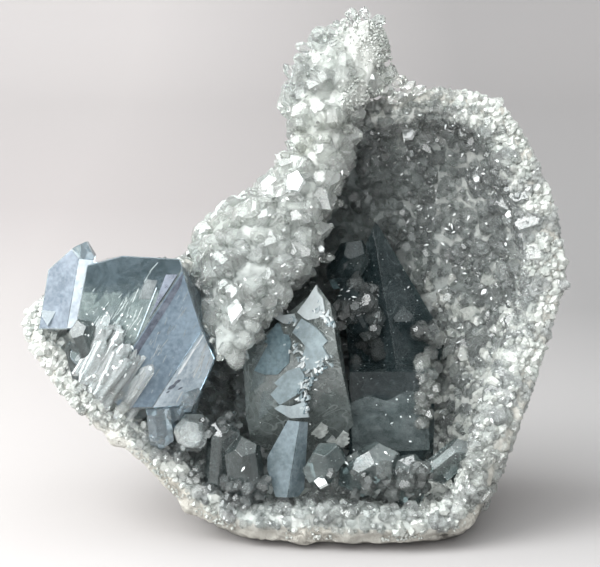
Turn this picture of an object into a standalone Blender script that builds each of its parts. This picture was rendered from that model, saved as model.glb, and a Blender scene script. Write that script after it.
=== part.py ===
"""Celestite crystal cluster: a broken piece of a geode, standing on its cut-flat base.

The hollow opens to the front (-Y). A rind of pale rock bends round it, a fin of small clear crystals
rises over it on the left, and large blue crystals stand in it and on its left edge.
Lengths below are millimetres, angles are degrees, and the meshes are made in metres.
"""
import itertools
import math

import bmesh
import bpy
import numpy as np
from mathutils import Matrix, Vector

MM = 0.001
GAP = 0.3
SEED = 20

# What brings the middle of the finished cluster's box over the origin
TO_ORIGIN = (0.8, -4.4, 0.0)

# Driving dimensions: the bowl of rind
LOOK_DOWN = 12.0
HOLLOW_CENTRE = (8.0, -8.0, 51.0)
BACK_POLE = (12.0, 42.0, 44.0)
HOLLOW_END = (22.0, 27.0, 46.0)
BOXY = 0.5
ROUND = 0.85
HOLLOW_POWER = 1.0
HOLLOW_TAPER = 0.45
LINING = 2.2
LUMP = 1.3
RIM_CROWN = 1.2
CRUST_PROUD = 3.0
SAG = 9.5
SAG_BELOW = 40.0
SAG_POWER = 0.6
LUMP_SIZE = 9.0
POWER_HEIGHT = 120.0
POWER_WIDTH = 60.0
RIM_LIFT = 0.5
MOUTH_DEPTH = 33.0
COLUMNS = 32
FIN_COLUMNS = 16
FIN_ROWS = 19
FIN_POWER = 0.8
FIN_CAP = 1.5
OUTER_LEVELS = (0.9, 0.76, 0.6, 0.44, 0.28, 0.12, 0.0)
INNER_LEVELS = (0.0, 0.12, 0.26, 0.42, 0.58, 0.74, 0.88)
SKIN_LEVELS = (0.04, 0.18, 0.34, 0.5, 0.66, 0.82)
ROUND_U = np.arange(COLUMNS) / COLUMNS
CELESTITE_IOR = 1.62
MERGE = 1e-6
FLAT_ENOUGH = math.radians(0.2)

# The rim of the bowl, clockwise from the right as seen from the front: x, y, z and the rind's thickness
RIM = (
    (72.0, -5.0, 69.0, 10.0), (68.5, -9.0, 56.0, 10.0), (60.5, -20.0, 35.0, 9.5), (52.0, -29.0, 17.5, 9.0),
    (43.0, -36.0, 4.5, 8.5), (27.0, -38.5, 2.5, 8.5), (5.0, -37.5, 2.2, 9.0), (-14.0, -34.5, 2.8, 9.0),
    (-29.0, -30.5, 8.0, 8.5), (-42.0, -27.5, 20.5, 8.0), (-55.0, -23.5, 30.5, 8.0), (-67.0, -19.0, 42.5, 7.5),
    (-74.5, -14.0, 56.5, 7.0), (-66.0, -8.0, 64.0, 7.0), (-47.0, -2.0, 67.0, 7.0), (-25.0, 6.0, 74.0, 7.0),
    (-6.0, 12.0, 92.0, 7.0), (10.0, 14.0, 107.0, 7.0), (27.0, 13.0, 115.0, 8.0), (42.0, 10.0, 116.5, 8.0),
    (54.0, 6.0, 113.5, 8.5), (62.5, 2.5, 102.0, 9.0), (69.0, -1.5, 86.0, 9.5),
)

# The fin that rises over the hollow, upwards: z, x, front y, back y, half width
FIN = (
    (50.0, -18.0, -34.0, -27.0, 1.5), (53.0, -18.0, -35.0, -23.0, 4.5), (58.0, -17.0, -35.0, -12.0, 7.0),
    (63.0, -15.3, -33.5, 2.0, 9.5), (72.0, -13.0, -29.0, 11.0, 14.5), (79.0, -10.6, -24.0, 14.0, 16.0),
    (85.0, -7.0, -19.5, 15.0, 12.5), (92.5, 0.5, -14.0, 17.0, 8.5), (100.0, 5.0, -9.0, 19.0, 7.5),
    (106.0, 6.5, -6.0, 20.0, 7.5), (113.0, 6.6, -4.0, 20.0, 9.5), (120.0, 11.0, -1.0, 20.0, 12.0),
    (127.0, 12.4, 1.0, 18.0, 11.0), (132.0, 14.0, 3.0, 16.0, 8.0), (136.5, 18.0, 6.0, 13.0, 2.0),
)

# The large crystals. Each face of these is: degrees round from the right, degrees lifted to the viewer,
# and distance from the crystal's centre.
LEFT_CENTRE = (-40.3, -24.0, 56.5)
LEFT_FACES = (
    (85, -5, 18.9), (106, 5, 21.8), (171, -5, 18.2), (225, 0, 19.0), (270, 0, 20.0), (294, 5, 21.4),
    (335, 10, 18.5), (13, 10, 15.2), (27, 0, 16.6), (147, 70, 12.5), (327, 62, 11.1), (327, 44, 12.9),
    (147, -60, 12.0), (327, -60, 12.0),
)
UPPER_CENTRE = (-62.0, -17.0, 69.0)
UPPER_FACES = (
    (171, 0, 5.9), (130, 0, 5.8), (118, 0, 7.2), (34, 5, 9.5), (349, 0, 5.6), (270, 0, 13.0),
    (170, 62, 4.0), (350, 60, 6.0), (60, 35, 9.0), (170, -60, 4.5), (350, -60, 4.5),
)
NOTCH_CENTRE = (-65.5, -18.5, 60.5)
NOTCH_FACES = (
    (171, 0, 3.6), (125, 0, 3.4), (215, 0, 3.6), (270, 0, 3.6), (0, 0, 5.0), (60, 0, 5.0),
    (150, 60, 3.4), (330, 60, 3.4), (180, -60, 3.4), (0, -60, 3.4),
)
CENTRAL_CENTRE = (0.0, -16.0, 38.4)
CENTRAL_FACES = (
    (37, 0, 20.7), (9, 5, 12.7), (133, 5, 17.9), (183, 0, 15.1), (191, 0, 15.9), (270, 0, 31.0),
    (185, 62, 5.9), (280, 55, 5.0), (185, -60, 9.0), (5, -60, 9.0),
)
FRONT_CENTRE = (-2.7, -28.0, 24.1)
FRONT_FACES = (
    (150, 0, 5.1), (180, 0, 6.4), (198, 0, 7.4), (270, 0, 12.0), (320, 0, 9.5), (357, 0, 4.4), (85, 0, 9.3),
    (185, 68, 3.6), (345, 45, 4.0), (90, -60, 9.0), (270, -60, 9.0),
)
BACK_CENTRE = (24.9, 12.0, 60.7)
BACK_FACES = (
    (31, 0, 6.6), (157, 0, 10.7), (185, 0, 12.7), (270, 0, 27.0), (330, 0, 18.0), (75, 10, 16.8),
    (185, 58, 6.5), (15, 60, 5.0), (185, -55, 9.0), (15, -55, 9.0),
)
STEP_CENTRE = (24.6, -2.0, 27.4)
STEP_FACES = (
    (90, 8, 14.2), (180, 0, 11.0), (0, 0, 12.5), (300, 0, 17.0), (240, 0, 16.0), (268, 72, 8.0),
    (90, -50, 14.0), (270, -50, 11.0), (150, -10, 15.5), (30, -10, 16.0), (330, 50, 12.5),
)

# The other crystals in the hollow: centre, (turn, toward) of the long axis, (turn, toward) of the broad
# face, then length, width and thickness
SMALL_LEFT = (
    ((-56.0, -33.5, 56.0), (112, 10), (200, 70), 13.0, 8.5, 7.0),
    ((-57.5, -31.0, 50.5), (104, 5), (330, 60), 14.0, 8.0, 9.0),
)
LOWER_LEFT = (
    ((-37.5, -29.0, 32.5), (95, 20), (190, 60), 15.0, 8.0, 7.0),
    ((-31.5, -25.0, 37.0), (70, 15), (330, 65), 15.0, 9.0, 8.0),
)
BACK_SMALL = (
    ((16.5, 4.0, 55.5), (120, 20), (230, 60), 19.0, 13.0, 12.0),
    ((13.5, 9.0, 68.0), (60, 10), (200, 65), 16.0, 10.0, 10.0),
    ((33.0, 8.0, 48.0), (140, 15), (60, 60), 22.0, 10.0, 10.0),
)
RIGHT_PAIR = (
    ((40.0, -25.5, 21.0), (40, 10), (130, 60), 16.0, 8.5, 8.0),
    ((45.5, -26.0, 17.0), (50, 25), (300, 55), 12.0, 8.0, 7.0),
)
FRONT_LEFT = (
    ((-28.5, -28.0, 30.0), (110, 35), (60, 50), 13.0, 10.5, 9.5),
    ((-21.0, -28.5, 23.5), (85, 15), (180, 68), 22.0, 9.5, 8.5),
    ((-14.5, -31.0, 19.0), (97, 15), (20, 68), 22.0, 10.5, 8.5),
)
FRONT_RIGHT = (
    ((6.5, -30.0, 21.5), (60, 30), (300, 50), 15.0, 10.5, 9.5),
    ((18.5, -28.0, 19.5), (30, 15), (100, 60), 19.0, 13.0, 11.0),
    ((28.5, -28.0, 16.0), (75, 20), (200, 62), 17.0, 12.0, 10.0),
)

# Angles between the faces of celestite, from its cell
PRISM_ANGLE = 52.1
CHISEL_ANGLE = 38.0
DOME_ANGLE = 50.6
DOME_REACH = 1.08

# Small crystals: how many, how far apart, and the smallest and largest size; and the part of the surface
# that they stand on, as its lowest and highest (u, t)
FIN_DRUSE = (72, 7.6, 7.6, 10.2)
FIN_PART = ((0.0, 0.03), (1.0, 0.97))
RIM_DRUSE = (24, 6.0, 5.0, 7.0)
RIM_PART = ((0.66, 0.0), (1.14, 0.5))
HOLLOW_DRUSE = (52, 9.0, 9.5, 13.0)
HOLLOW_PART = ((0.0, 0.05), (1.0, 0.93))
BODY = 0.2
TIP = (0.3, 0.42)
GIRTH = (0.46, 0.56)
FLATNESS = (0.75, 1.0)
TIP_SHIFT = 0.3
SIDES = (4, 4, 4, 5)
TRIES = 60
STEP = 0.01
FIN_GRID = (24, 40)
SINK = 0.2
LEAN = 0.26
CLEAR_OF_FIN = 7.0


def view_frame():
    """Right, up and toward the viewer, for someone who looks at the hollow from LOOK_DOWN degrees above."""
    tilt = math.radians(LOOK_DOWN)
    right = np.array((1.0, 0.0, 0.0))
    up = np.array((0.0, math.sin(tilt), math.cos(tilt)))
    toward = np.array((0.0, -math.cos(tilt), math.sin(tilt)))
    return right, up, toward


def direction(turn, toward):
    """Unit vector at turn degrees round from the right, lifted by toward degrees to the viewer."""
    right, up, near = view_frame()
    a = math.radians(turn)
    b = math.radians(toward)
    return math.cos(b) * (math.cos(a) * right + math.sin(a) * up) + math.sin(b) * near


def smooth_through(points, places, closed):
    """Catmull-Rom curve through points, read at places, which count along the points from 0."""
    points = np.asarray(points, float)
    count = len(points)
    first = np.floor(places).astype(int)
    if not closed:
        first = np.clip(first, 0, count - 2)
    f = (places - first)[:, None]
    rows = [first - 1, first, first + 1, first + 2]
    if closed:
        p0, p1, p2, p3 = (points[row % count] for row in rows)
    else:
        p0, p1, p2, p3 = (points[np.clip(row, 0, count - 1)] for row in rows)
    return 0.5 * (2 * p1 + (p2 - p0) * f + (2 * p0 - 5 * p1 + 4 * p2 - p3) * f ** 2
                  + (3 * p1 - p0 - 3 * p2 + p3) * f ** 3)


def lumps(points, size, height):
    """Soft lumps: three crossed sine waves of about that size, as a height along the normal."""
    x, y, z = (points / size).T
    crossed = np.sin(x * 1.7 + y * 1.1 + 0.4) * np.sin(y * 1.5 - z * 1.3)
    rolling = np.sin(z * 1.9 + x * 0.7 + 2.0) * 0.7
    return height * (crossed + rolling)


def unit(vectors):
    """The vectors scaled to length 1."""
    vectors = np.asarray(vectors, float)
    return vectors / np.linalg.norm(vectors, axis=-1, keepdims=True)


def rim_point(u, inset):
    """Points of the rim at u (0 to 1 round it), moved towards the hollow by inset parts of the rind."""
    curve = smooth_through(RIM, np.asarray(u) * len(RIM), closed=True)
    point = curve[:, :3]
    outward = point - np.array(HOLLOW_CENTRE)
    outward[:, 1] = 0.0
    return point - unit(outward) * (curve[:, 3:] * np.asarray(inset)[:, None])


def bowl_point(u, t, inset, pole, low, high, right):
    """Superellipse from the rim (t = 0) to the pole (t = 1).

    Its power is low at the bottom, high at the top, and grows by right towards the right.
    """
    centre = np.array(HOLLOW_CENTRE)
    edge = rim_point(u, inset) - centre
    height = np.clip(0.5 + edge[:, 2] / POWER_HEIGHT, 0.0, 1.0)
    side = np.clip(edge[:, 0] / POWER_WIDTH, 0.0, 1.0)
    power = (low + (high - low) * height + right * side)[:, None]
    angle = (np.asarray(t) * math.pi / 2)[:, None]
    return centre + edge * np.cos(angle) ** power + (np.array(pole) - centre) * np.sin(angle) ** power


def outside(u, t):
    """The rind's outer surface, cut flat at the base."""
    u, t = np.broadcast_arrays(u, t)
    point = bowl_point(u.ravel(), t.ravel(), np.zeros(u.size), BACK_POLE, BOXY, ROUND, 0.0)
    low = np.clip((SAG_BELOW - point[:, 2]) / SAG_BELOW, 0.0, 1.0)
    sag = np.sin(t.ravel() * math.pi) ** SAG_POWER * low
    point[:, 2] -= SAG * sag
    outward = unit(point - np.array(HOLLOW_CENTRE))
    fade = np.sin(np.clip(t.ravel(), 0.0, 1.0) * math.pi)[:, None]
    point += outward * lumps(point, LUMP_SIZE, LUMP)[:, None] * fade
    point[:, 2] = np.maximum(point[:, 2], 0.0)
    return point


def inside(u, t, raised=0.0):
    """The rind's inner surface, or a surface that is raised from it towards the hollow."""
    u, t = np.broadcast_arrays(u, t)
    centre = np.array(HOLLOW_CENTRE)
    pole = np.array(HOLLOW_END) - unit(np.array(HOLLOW_END) - centre) * raised
    point = bowl_point(u.ravel(), t.ravel(), np.ones(u.size), pole, BOXY, HOLLOW_POWER, HOLLOW_TAPER)
    inward = point - centre
    inward[:, 1] = 0.0
    near_pole = np.cos(t.ravel() * math.pi / 2)[:, None]
    return point - unit(inward) * raised * near_pole


def fin_point(u, v, grow=0.0):
    """The fin, grown sideways: ovals lying level, one above the other, joined by a smooth curve."""
    u, v = np.broadcast_arrays(u, v)
    row = smooth_through(FIN, v.ravel() * (len(FIN) - 1), closed=False)
    z, x, front, back, half = row.T
    angle = u.ravel() * 2 * math.pi
    across = np.sign(np.cos(angle)) * np.abs(np.cos(angle)) ** FIN_POWER
    deep = np.sign(np.sin(angle)) * np.abs(np.sin(angle)) ** FIN_POWER
    reach = (back - front) / 2 + grow
    return np.stack([x + (half + grow) * across, (front + back) / 2 + reach * deep, z], axis=1)


def mesh_object(name, points, faces):
    """An object from points in millimetres."""
    mesh = bpy.data.meshes.new(name)
    mesh.from_pydata((np.asarray(points) * MM).tolist(), [], faces)
    mesh.validate()
    thing = bpy.data.objects.new(name, mesh)
    bpy.context.collection.objects.link(thing)
    tidy_mesh(thing)
    return thing


def tidy_mesh(thing):
    """Merges doubles, clears needless edges from flat faces, makes triangles and turns them outwards."""
    work = bmesh.new()
    work.from_mesh(thing.data)
    bmesh.ops.remove_doubles(work, verts=work.verts, dist=MERGE)
    bmesh.ops.dissolve_degenerate(work, edges=work.edges, dist=MERGE)
    bmesh.ops.dissolve_limit(work, angle_limit=FLAT_ENOUGH, verts=work.verts, edges=work.edges)
    bmesh.ops.triangulate(work, faces=work.faces)
    bmesh.ops.recalc_face_normals(work, faces=work.faces)
    work.to_mesh(thing.data)
    work.free()


def ring_solid(name, rings, first_end, last_end):
    """A closed solid from rings of equal length, with a point closing each end."""
    count = len(rings[0])
    points = np.vstack(rings + [first_end, last_end])
    faces = []
    for row in range(len(rings) - 1):
        for i in range(count):
            j = (i + 1) % count
            a = row * count
            b = a + count
            faces.append((a + i, a + j, b + j, b + i))
    last = (len(rings) - 1) * count
    end = len(rings) * count
    for i in range(count):
        j = (i + 1) % count
        faces.append((end, j, i))
        faces.append((end + 1, last + i, last + j))
    return mesh_object(name, points, faces)


def remove(thing):
    """Takes an object and its mesh out of the file."""
    mesh = thing.data
    bpy.data.objects.remove(thing)
    bpy.data.meshes.remove(mesh)


def combine(thing, others, operation, self_union=False):
    """Applies a Boolean of thing with each of the others, which are used up."""
    for other in others:
        change = thing.modifiers.new("combine", "BOOLEAN")
        change.operation = operation
        change.object = other
        change.solver = "EXACT"
        change.use_self = self_union
        graph = bpy.context.evaluated_depsgraph_get()
        mesh = bpy.data.meshes.new_from_object(thing.evaluated_get(graph))
        thing.modifiers.clear()
        old = thing.data
        thing.data = mesh
        bpy.data.meshes.remove(old)
        remove(other)
    tidy_mesh(thing)
    return thing


def keep_largest(thing):
    """Deletes loose chips, so that one body is left."""
    work = bmesh.new()
    work.from_mesh(thing.data)
    left = set(work.verts)
    groups = []
    while left:
        group = set()
        edge = [left.pop()]
        while edge:
            vert = edge.pop()
            group.add(vert)
            for side in vert.link_edges:
                other = side.other_vert(vert)
                if other in left:
                    left.remove(other)
                    edge.append(other)
        groups.append(group)
    groups.sort(key=lambda group: sum(face.calc_area() for vert in group for face in vert.link_faces))
    for group in groups[:-1]:
        bmesh.ops.delete(work, geom=list(group), context="VERTS")
    work.to_mesh(thing.data)
    work.free()


# Crystals


def corners(normals, distances):
    """Corner points of the space that lies behind every face."""
    found = []
    for trio in itertools.combinations(range(len(normals)), 3):
        rows = normals[list(trio)]
        if abs(np.linalg.det(rows)) < 1e-4:
            continue
        point = np.linalg.solve(rows, distances[list(trio)])
        if np.all(normals @ point <= distances + 1e-6):
            found.append(point)
    return np.unique(np.round(found, 4), axis=0)


def seen_faces(faces):
    """Normals and distances of faces that are given as seen from the front."""
    normals = np.array([direction(turn, toward) for turn, toward, _ in faces])
    distances = np.array([float(distance) for _, _, distance in faces])
    return normals, distances


def habit(axis, broad, length, width, thickness):
    """Normals and distances of celestite's usual shape: a flat six-sided prism with chisel ends."""
    along = direction(*axis)
    front = direction(*broad)
    front = unit(front - along * (front @ along))
    across = np.cross(front, along)
    prism = math.radians(PRISM_ANGLE)
    chisel = math.radians(CHISEL_ANGLE)
    dome = math.radians(DOME_ANGLE)
    normals = [front, -front]
    distances = [thickness / 2, thickness / 2]
    for one, other in itertools.product((1, -1), repeat=2):
        normals.append(one * front * math.cos(prism) + other * across * math.sin(prism))
        distances.append(width / 2 * math.sin(prism))
        normals.append(one * along * math.cos(chisel) + other * across * math.sin(chisel))
        distances.append(length / 2 * math.cos(chisel))
        normals.append(one * along * math.cos(dome) + other * front * math.sin(dome))
        distances.append(length / 2 * math.cos(dome) * DOME_REACH)
    return np.array(normals), np.array(distances)


def cut_crystal(name, centre, shape, grow=0.0):
    """A crystal: the space behind every one of its faces, each moved out by grow."""
    normals, distances = shape
    points = corners(normals, distances + grow) + np.array(centre)
    work = bmesh.new()
    for point in points * MM:
        work.verts.new(point)
    bmesh.ops.convex_hull(work, input=work.verts)
    mesh = bpy.data.meshes.new(name)
    work.to_mesh(mesh)
    work.free()
    thing = bpy.data.objects.new(name, mesh)
    bpy.context.collection.objects.link(thing)
    tidy_mesh(thing)
    return thing


def small_crystals(name, places, normals, sizes, rng, lean, sink):
    """One mesh of small pointed prisms that stand on places, each leaning a little off its normal."""
    points = []
    faces = []
    for place, normal, size in zip(places, normals, sizes):
        axis = unit(normal + rng.normal(0.0, lean, 3))
        side = unit(np.cross(axis, rng.normal(0.0, 1.0, 3)))
        across = np.cross(axis, side)
        sides = int(rng.choice(SIDES))
        start = len(points)
        width = size * rng.uniform(*GIRTH)
        flat = rng.uniform(*FLATNESS)
        tip = size * rng.uniform(*TIP)
        for level in (-sink * size, size * BODY):
            for i in range(sides):
                angle = 2 * math.pi * (i + 0.5) / sides
                offset = side * math.cos(angle) * width + across * math.sin(angle) * width * flat
                points.append(place + axis * level + offset)
        points.append(place + axis * (size * BODY + tip) + side * rng.uniform(-TIP_SHIFT, TIP_SHIFT) * width)
        top = start + 2 * sides
        faces.append(tuple(start + i for i in reversed(range(sides))))
        for i in range(sides):
            j = (i + 1) % sides
            faces.append((start + i, start + j, start + sides + j, start + sides + i))
            faces.append((start + sides + i, start + sides + j, top))
    return mesh_object(name, points, faces)


def spread(surface, count, apart, rng, low, high):
    """Places on surface(u, t), at least apart from each other, with the outward normals."""
    centres = []
    normals = []
    for _ in range(count * TRIES):
        if len(centres) == count:
            break
        u = rng.uniform(low[0], high[0])
        t = rng.uniform(low[1], high[1])
        around = surface(np.array([u, u + STEP, u - STEP, u, u]), np.array([t, t, t, t + STEP, t - STEP]))
        place = around[0]
        if centres and np.min(np.linalg.norm(np.array(centres) - place, axis=1)) < apart:
            continue
        normal = np.cross(around[1] - around[2], around[3] - around[4])
        if np.linalg.norm(normal) < 1e-9:
            continue
        centres.append(place)
        normals.append(unit(normal))
    return np.array(centres), np.array(normals)


# Pieces of the rind


def bowl(name):
    """The rind: outer surface from the back to the rim, across the broken rim, and in to the hollow's end."""
    outer = [outside(ROUND_U, np.full(COLUMNS, t)) for t in OUTER_LEVELS]
    middle = rim_point(ROUND_U, np.full(COLUMNS, 0.5)) - np.array((0.0, RIM_CROWN, 0.0))
    inner = [inside(ROUND_U, np.full(COLUMNS, t)) for t in INNER_LEVELS]
    middle[:, 2] = np.maximum(middle[:, 2], RIM_LIFT)
    return ring_solid(name, outer + [middle] + inner, np.array([BACK_POLE]), np.array([HOLLOW_END]))


def fin(name, grow=0.0):
    """The fin over the hollow."""
    ring = np.arange(FIN_COLUMNS) / FIN_COLUMNS
    rings = [fin_point(ring, np.full(FIN_COLUMNS, v), grow) for v in np.linspace(0.0, 1.0, FIN_ROWS)]
    bottom = rings[0].mean(axis=0, keepdims=True) - np.array((0.0, 0.0, FIN_CAP + grow))
    top = rings[-1].mean(axis=0, keepdims=True) + np.array((0.0, 0.0, FIN_CAP + grow))
    return ring_solid(name, rings, bottom, top)


def hollow_end(raised):
    """The hollow's deepest point, brought forward as far as the surface round it is raised."""
    toward_back = unit(np.array([HOLLOW_END]) - np.array(HOLLOW_CENTRE))
    return np.array([HOLLOW_END]) - toward_back * raised


def lining(name):
    """The thin skin that the hollow's crystals stand on, with its back still inside the rind."""
    back = [inside(ROUND_U, np.full(COLUMNS, t), -LINING) for t in reversed(INNER_LEVELS)]
    front = [inside(ROUND_U, np.full(COLUMNS, t), LINING) for t in SKIN_LEVELS]
    return ring_solid(name, back + front, hollow_end(-LINING), hollow_end(LINING))


def hollow_space(name):
    """The hollow itself, a gap away from the rind, with a low cone over its mouth."""
    back = [inside(ROUND_U, np.full(COLUMNS, t), GAP) for t in reversed(INNER_LEVELS)]
    brow = back[-1] - np.array((0.0, CRUST_PROUD, 0.0))
    front = np.array([HOLLOW_CENTRE]) - np.array((0.0, MOUTH_DEPTH, 0.0))
    return ring_solid(name, back + [brow], hollow_end(GAP), front)


def edge_band(u, t):
    """The rim from its outer edge (t = 0) to its inner edge (t = 1), facing forwards."""
    u, t = np.broadcast_arrays(u, t)
    point = rim_point(u.ravel(), t.ravel())
    point[:, 1] -= RIM_CROWN * np.sin(t.ravel() * math.pi)
    return point


def distance_to_fin(points):
    """How far points are from the fin's surface, roughly: from the nearest of a grid of its points."""
    columns, rows = FIN_GRID
    u, v = np.meshgrid(np.arange(columns) / columns, np.linspace(0.0, 1.0, rows))
    grid = fin_point(u, v)
    return np.min(np.linalg.norm(points[:, None, :] - grid[None, :, :], axis=2), axis=1)


def druse(name, surface, numbers, part, rng, keep=None):
    """Small crystals standing on part of a surface, as one mesh of overlapping solids."""
    count, apart, smallest, largest = numbers
    places, normals = spread(surface, count, apart, rng, *part)
    if keep is not None:
        kept = keep(places)
        places = places[kept]
        normals = normals[kept]
    sizes = rng.uniform(smallest, largest, len(places))
    return small_crystals(name, places, normals, sizes, rng, LEAN, SINK)


def clear_of_fin(places):
    """Whether each place leaves room for the fin's own crystals."""
    return distance_to_fin(places) > CLEAR_OF_FIN


def hollow_floor(u, t):
    """The lining's front, facing into the hollow."""
    return inside(1.0 - np.asarray(u), t, LINING)


def material(name, colour, roughness, transmission=0.0):
    """A plain material of the piece's colour."""
    finish = bpy.data.materials.new(name)
    finish.use_nodes = True
    shader = finish.node_tree.nodes["Principled BSDF"]
    shader.inputs["Base Color"].default_value = (*colour, 1.0)
    shader.inputs["Roughness"].default_value = roughness
    shader.inputs["Metallic"].default_value = 0.0
    shader.inputs["Transmission Weight"].default_value = transmission
    shader.inputs["IOR"].default_value = CELESTITE_IOR
    return finish


# Build

for thing in list(bpy.data.objects):
    bpy.data.objects.remove(thing)

rng = np.random.default_rng(SEED)

# The large crystals by piece, in the order in which each gives way to those before it
GROUPS = {
    "large_left_crystal": ((LEFT_CENTRE, seen_faces(LEFT_FACES)),),
    "upper_left_crystal": ((UPPER_CENTRE, seen_faces(UPPER_FACES)), (NOTCH_CENTRE, seen_faces(NOTCH_FACES))),
    "central_crystals": ((CENTRAL_CENTRE, seen_faces(CENTRAL_FACES)),
                         (FRONT_CENTRE, seen_faces(FRONT_FACES))),
    "back_crystals": ((BACK_CENTRE, seen_faces(BACK_FACES)), (STEP_CENTRE, seen_faces(STEP_FACES)),
                      *((row[0], habit(*row[1:])) for row in BACK_SMALL)),
    "front_left_crystals": tuple((row[0], habit(*row[1:])) for row in FRONT_LEFT),
    "front_right_crystals": tuple((row[0], habit(*row[1:])) for row in FRONT_RIGHT),
    "right_crystals": tuple((row[0], habit(*row[1:])) for row in RIGHT_PAIR),
    "lower_left_crystals": tuple((row[0], habit(*row[1:])) for row in LOWER_LEFT),
    "small_left_crystals": tuple((row[0], habit(*row[1:])) for row in SMALL_LEFT),
}
SMOKY_GROUPS = ("back_crystals", "front_left_crystals", "front_right_crystals", "right_crystals")


def group_solid(name, group, grow=0.0):
    """The crystals of a group, joined where they overlap."""
    first, *others = [cut_crystal(name, centre, shape, grow) for centre, shape in group]
    return combine(first, others, "UNION")


wall = bowl("geode_wall")
combine(wall, [fin("fin")], "UNION")
combine(wall, [druse("fin_druse", fin_point, FIN_DRUSE, FIN_PART, rng)], "UNION", True)
rim_druse = druse("rim_druse", edge_band, RIM_DRUSE, RIM_PART, rng, clear_of_fin)
combine(wall, [rim_druse], "UNION", True)
combine(wall, [group_solid("socket", group, GAP) for group in GROUPS.values()], "DIFFERENCE")
keep_largest(wall)

crust = lining("cavity_crust")
stones = druse("hollow_druse", hollow_floor, HOLLOW_DRUSE, HOLLOW_PART, rng, clear_of_fin)
combine(crust, [stones], "UNION", True)
combine(crust, [hollow_space("hollow_space")], "INTERSECT")
combine(crust, [fin("fin_socket", CLEAR_OF_FIN)], "DIFFERENCE")
combine(crust, [group_solid("socket", group, GAP) for group in GROUPS.values()], "DIFFERENCE")
keep_largest(crust)

solids = {}
for name, group in GROUPS.items():
    solids[name] = group_solid(name, group)
    earlier = list(GROUPS)[:list(GROUPS).index(name)]
    combine(solids[name], [group_solid("neighbour", GROUPS[other], GAP) for other in earlier], "DIFFERENCE")
    keep_largest(solids[name])

solids["geode_wall"] = wall
solids["cavity_crust"] = crust
for solid in solids.values():
    solid.data.transform(Matrix.Translation(Vector(TO_ORIGIN) * MM))

# Finishes
RIND = material("pale_rind", (0.72, 0.72, 0.69), 0.7)
DRUSE = material("grey_druse", (0.62, 0.67, 0.68), 0.2, 0.6)
BLUE = material("blue_celestite", (0.52, 0.63, 0.72), 0.08, 0.9)
SMOKY = material("smoky_celestite", (0.4, 0.47, 0.5), 0.1, 0.8)
FINISHES = {"geode_wall": RIND, "cavity_crust": DRUSE}
for name, solid in solids.items():
    solid.data.materials.append(FINISHES.get(name, SMOKY if name in SMOKY_GROUPS else BLUE))
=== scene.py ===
import itertools
import math

import bmesh
import bpy
import numpy as np
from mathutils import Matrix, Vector
from mathutils.bvhtree import BVHTree


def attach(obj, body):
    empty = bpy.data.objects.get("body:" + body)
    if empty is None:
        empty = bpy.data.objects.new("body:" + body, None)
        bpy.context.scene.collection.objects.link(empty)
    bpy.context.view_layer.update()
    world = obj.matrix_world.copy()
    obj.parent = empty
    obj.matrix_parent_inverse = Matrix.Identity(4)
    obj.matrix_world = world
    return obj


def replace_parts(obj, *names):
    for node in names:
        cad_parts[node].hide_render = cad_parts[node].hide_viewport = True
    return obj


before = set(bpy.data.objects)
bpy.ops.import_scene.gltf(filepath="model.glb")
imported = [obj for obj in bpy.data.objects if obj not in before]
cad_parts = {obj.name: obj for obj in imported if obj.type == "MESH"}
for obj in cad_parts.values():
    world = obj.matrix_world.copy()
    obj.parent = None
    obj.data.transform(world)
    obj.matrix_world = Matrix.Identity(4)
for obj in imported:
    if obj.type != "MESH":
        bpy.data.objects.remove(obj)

MM = 0.001
SEED = 11
TO_ORIGIN = np.array((0.8, -4.4, 0.0))
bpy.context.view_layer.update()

# The bowl, the rim and the fin, as the CAD source has them
LOOK_DOWN = 12.0
HOLLOW_CENTRE = np.array((8.0, -8.0, 51.0))
BACK_POLE = np.array((12.0, 42.0, 44.0))
HOLLOW_END = np.array((22.0, 27.0, 46.0))
BOXY = 0.5
ROUND = 0.85
HOLLOW_POWER = 1.0
HOLLOW_TAPER = 0.45
LUMP = 1.3
LUMP_SIZE = 9.0
RIM_CROWN = 1.2
SAG = 9.5
SAG_BELOW = 40.0
SAG_POWER = 0.6
POWER_HEIGHT = 120.0
POWER_WIDTH = 60.0
FIN_POWER = 0.8

# Rim, clockwise from the right as seen from the front: x, y, z and the rind's thickness
RIM = np.array((
    (72.0, -5.0, 69.0, 10.0), (68.5, -9.0, 56.0, 10.0), (60.5, -20.0, 35.0, 9.5), (52.0, -29.0, 17.5, 9.0),
    (43.0, -36.0, 4.5, 8.5), (27.0, -38.5, 2.5, 8.5), (5.0, -37.5, 2.2, 9.0), (-14.0, -34.5, 2.8, 9.0),
    (-29.0, -30.5, 8.0, 8.5), (-42.0, -27.5, 20.5, 8.0), (-55.0, -23.5, 30.5, 8.0), (-67.0, -19.0, 42.5, 7.5),
    (-74.5, -14.0, 56.5, 7.0), (-66.0, -8.0, 64.0, 7.0), (-47.0, -2.0, 67.0, 7.0), (-25.0, 6.0, 74.0, 7.0),
    (-6.0, 12.0, 92.0, 7.0), (10.0, 14.0, 107.0, 7.0), (27.0, 13.0, 115.0, 8.0), (42.0, 10.0, 116.5, 8.0),
    (54.0, 6.0, 113.5, 8.5), (62.5, 2.5, 102.0, 9.0), (69.0, -1.5, 86.0, 9.5),
))

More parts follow.
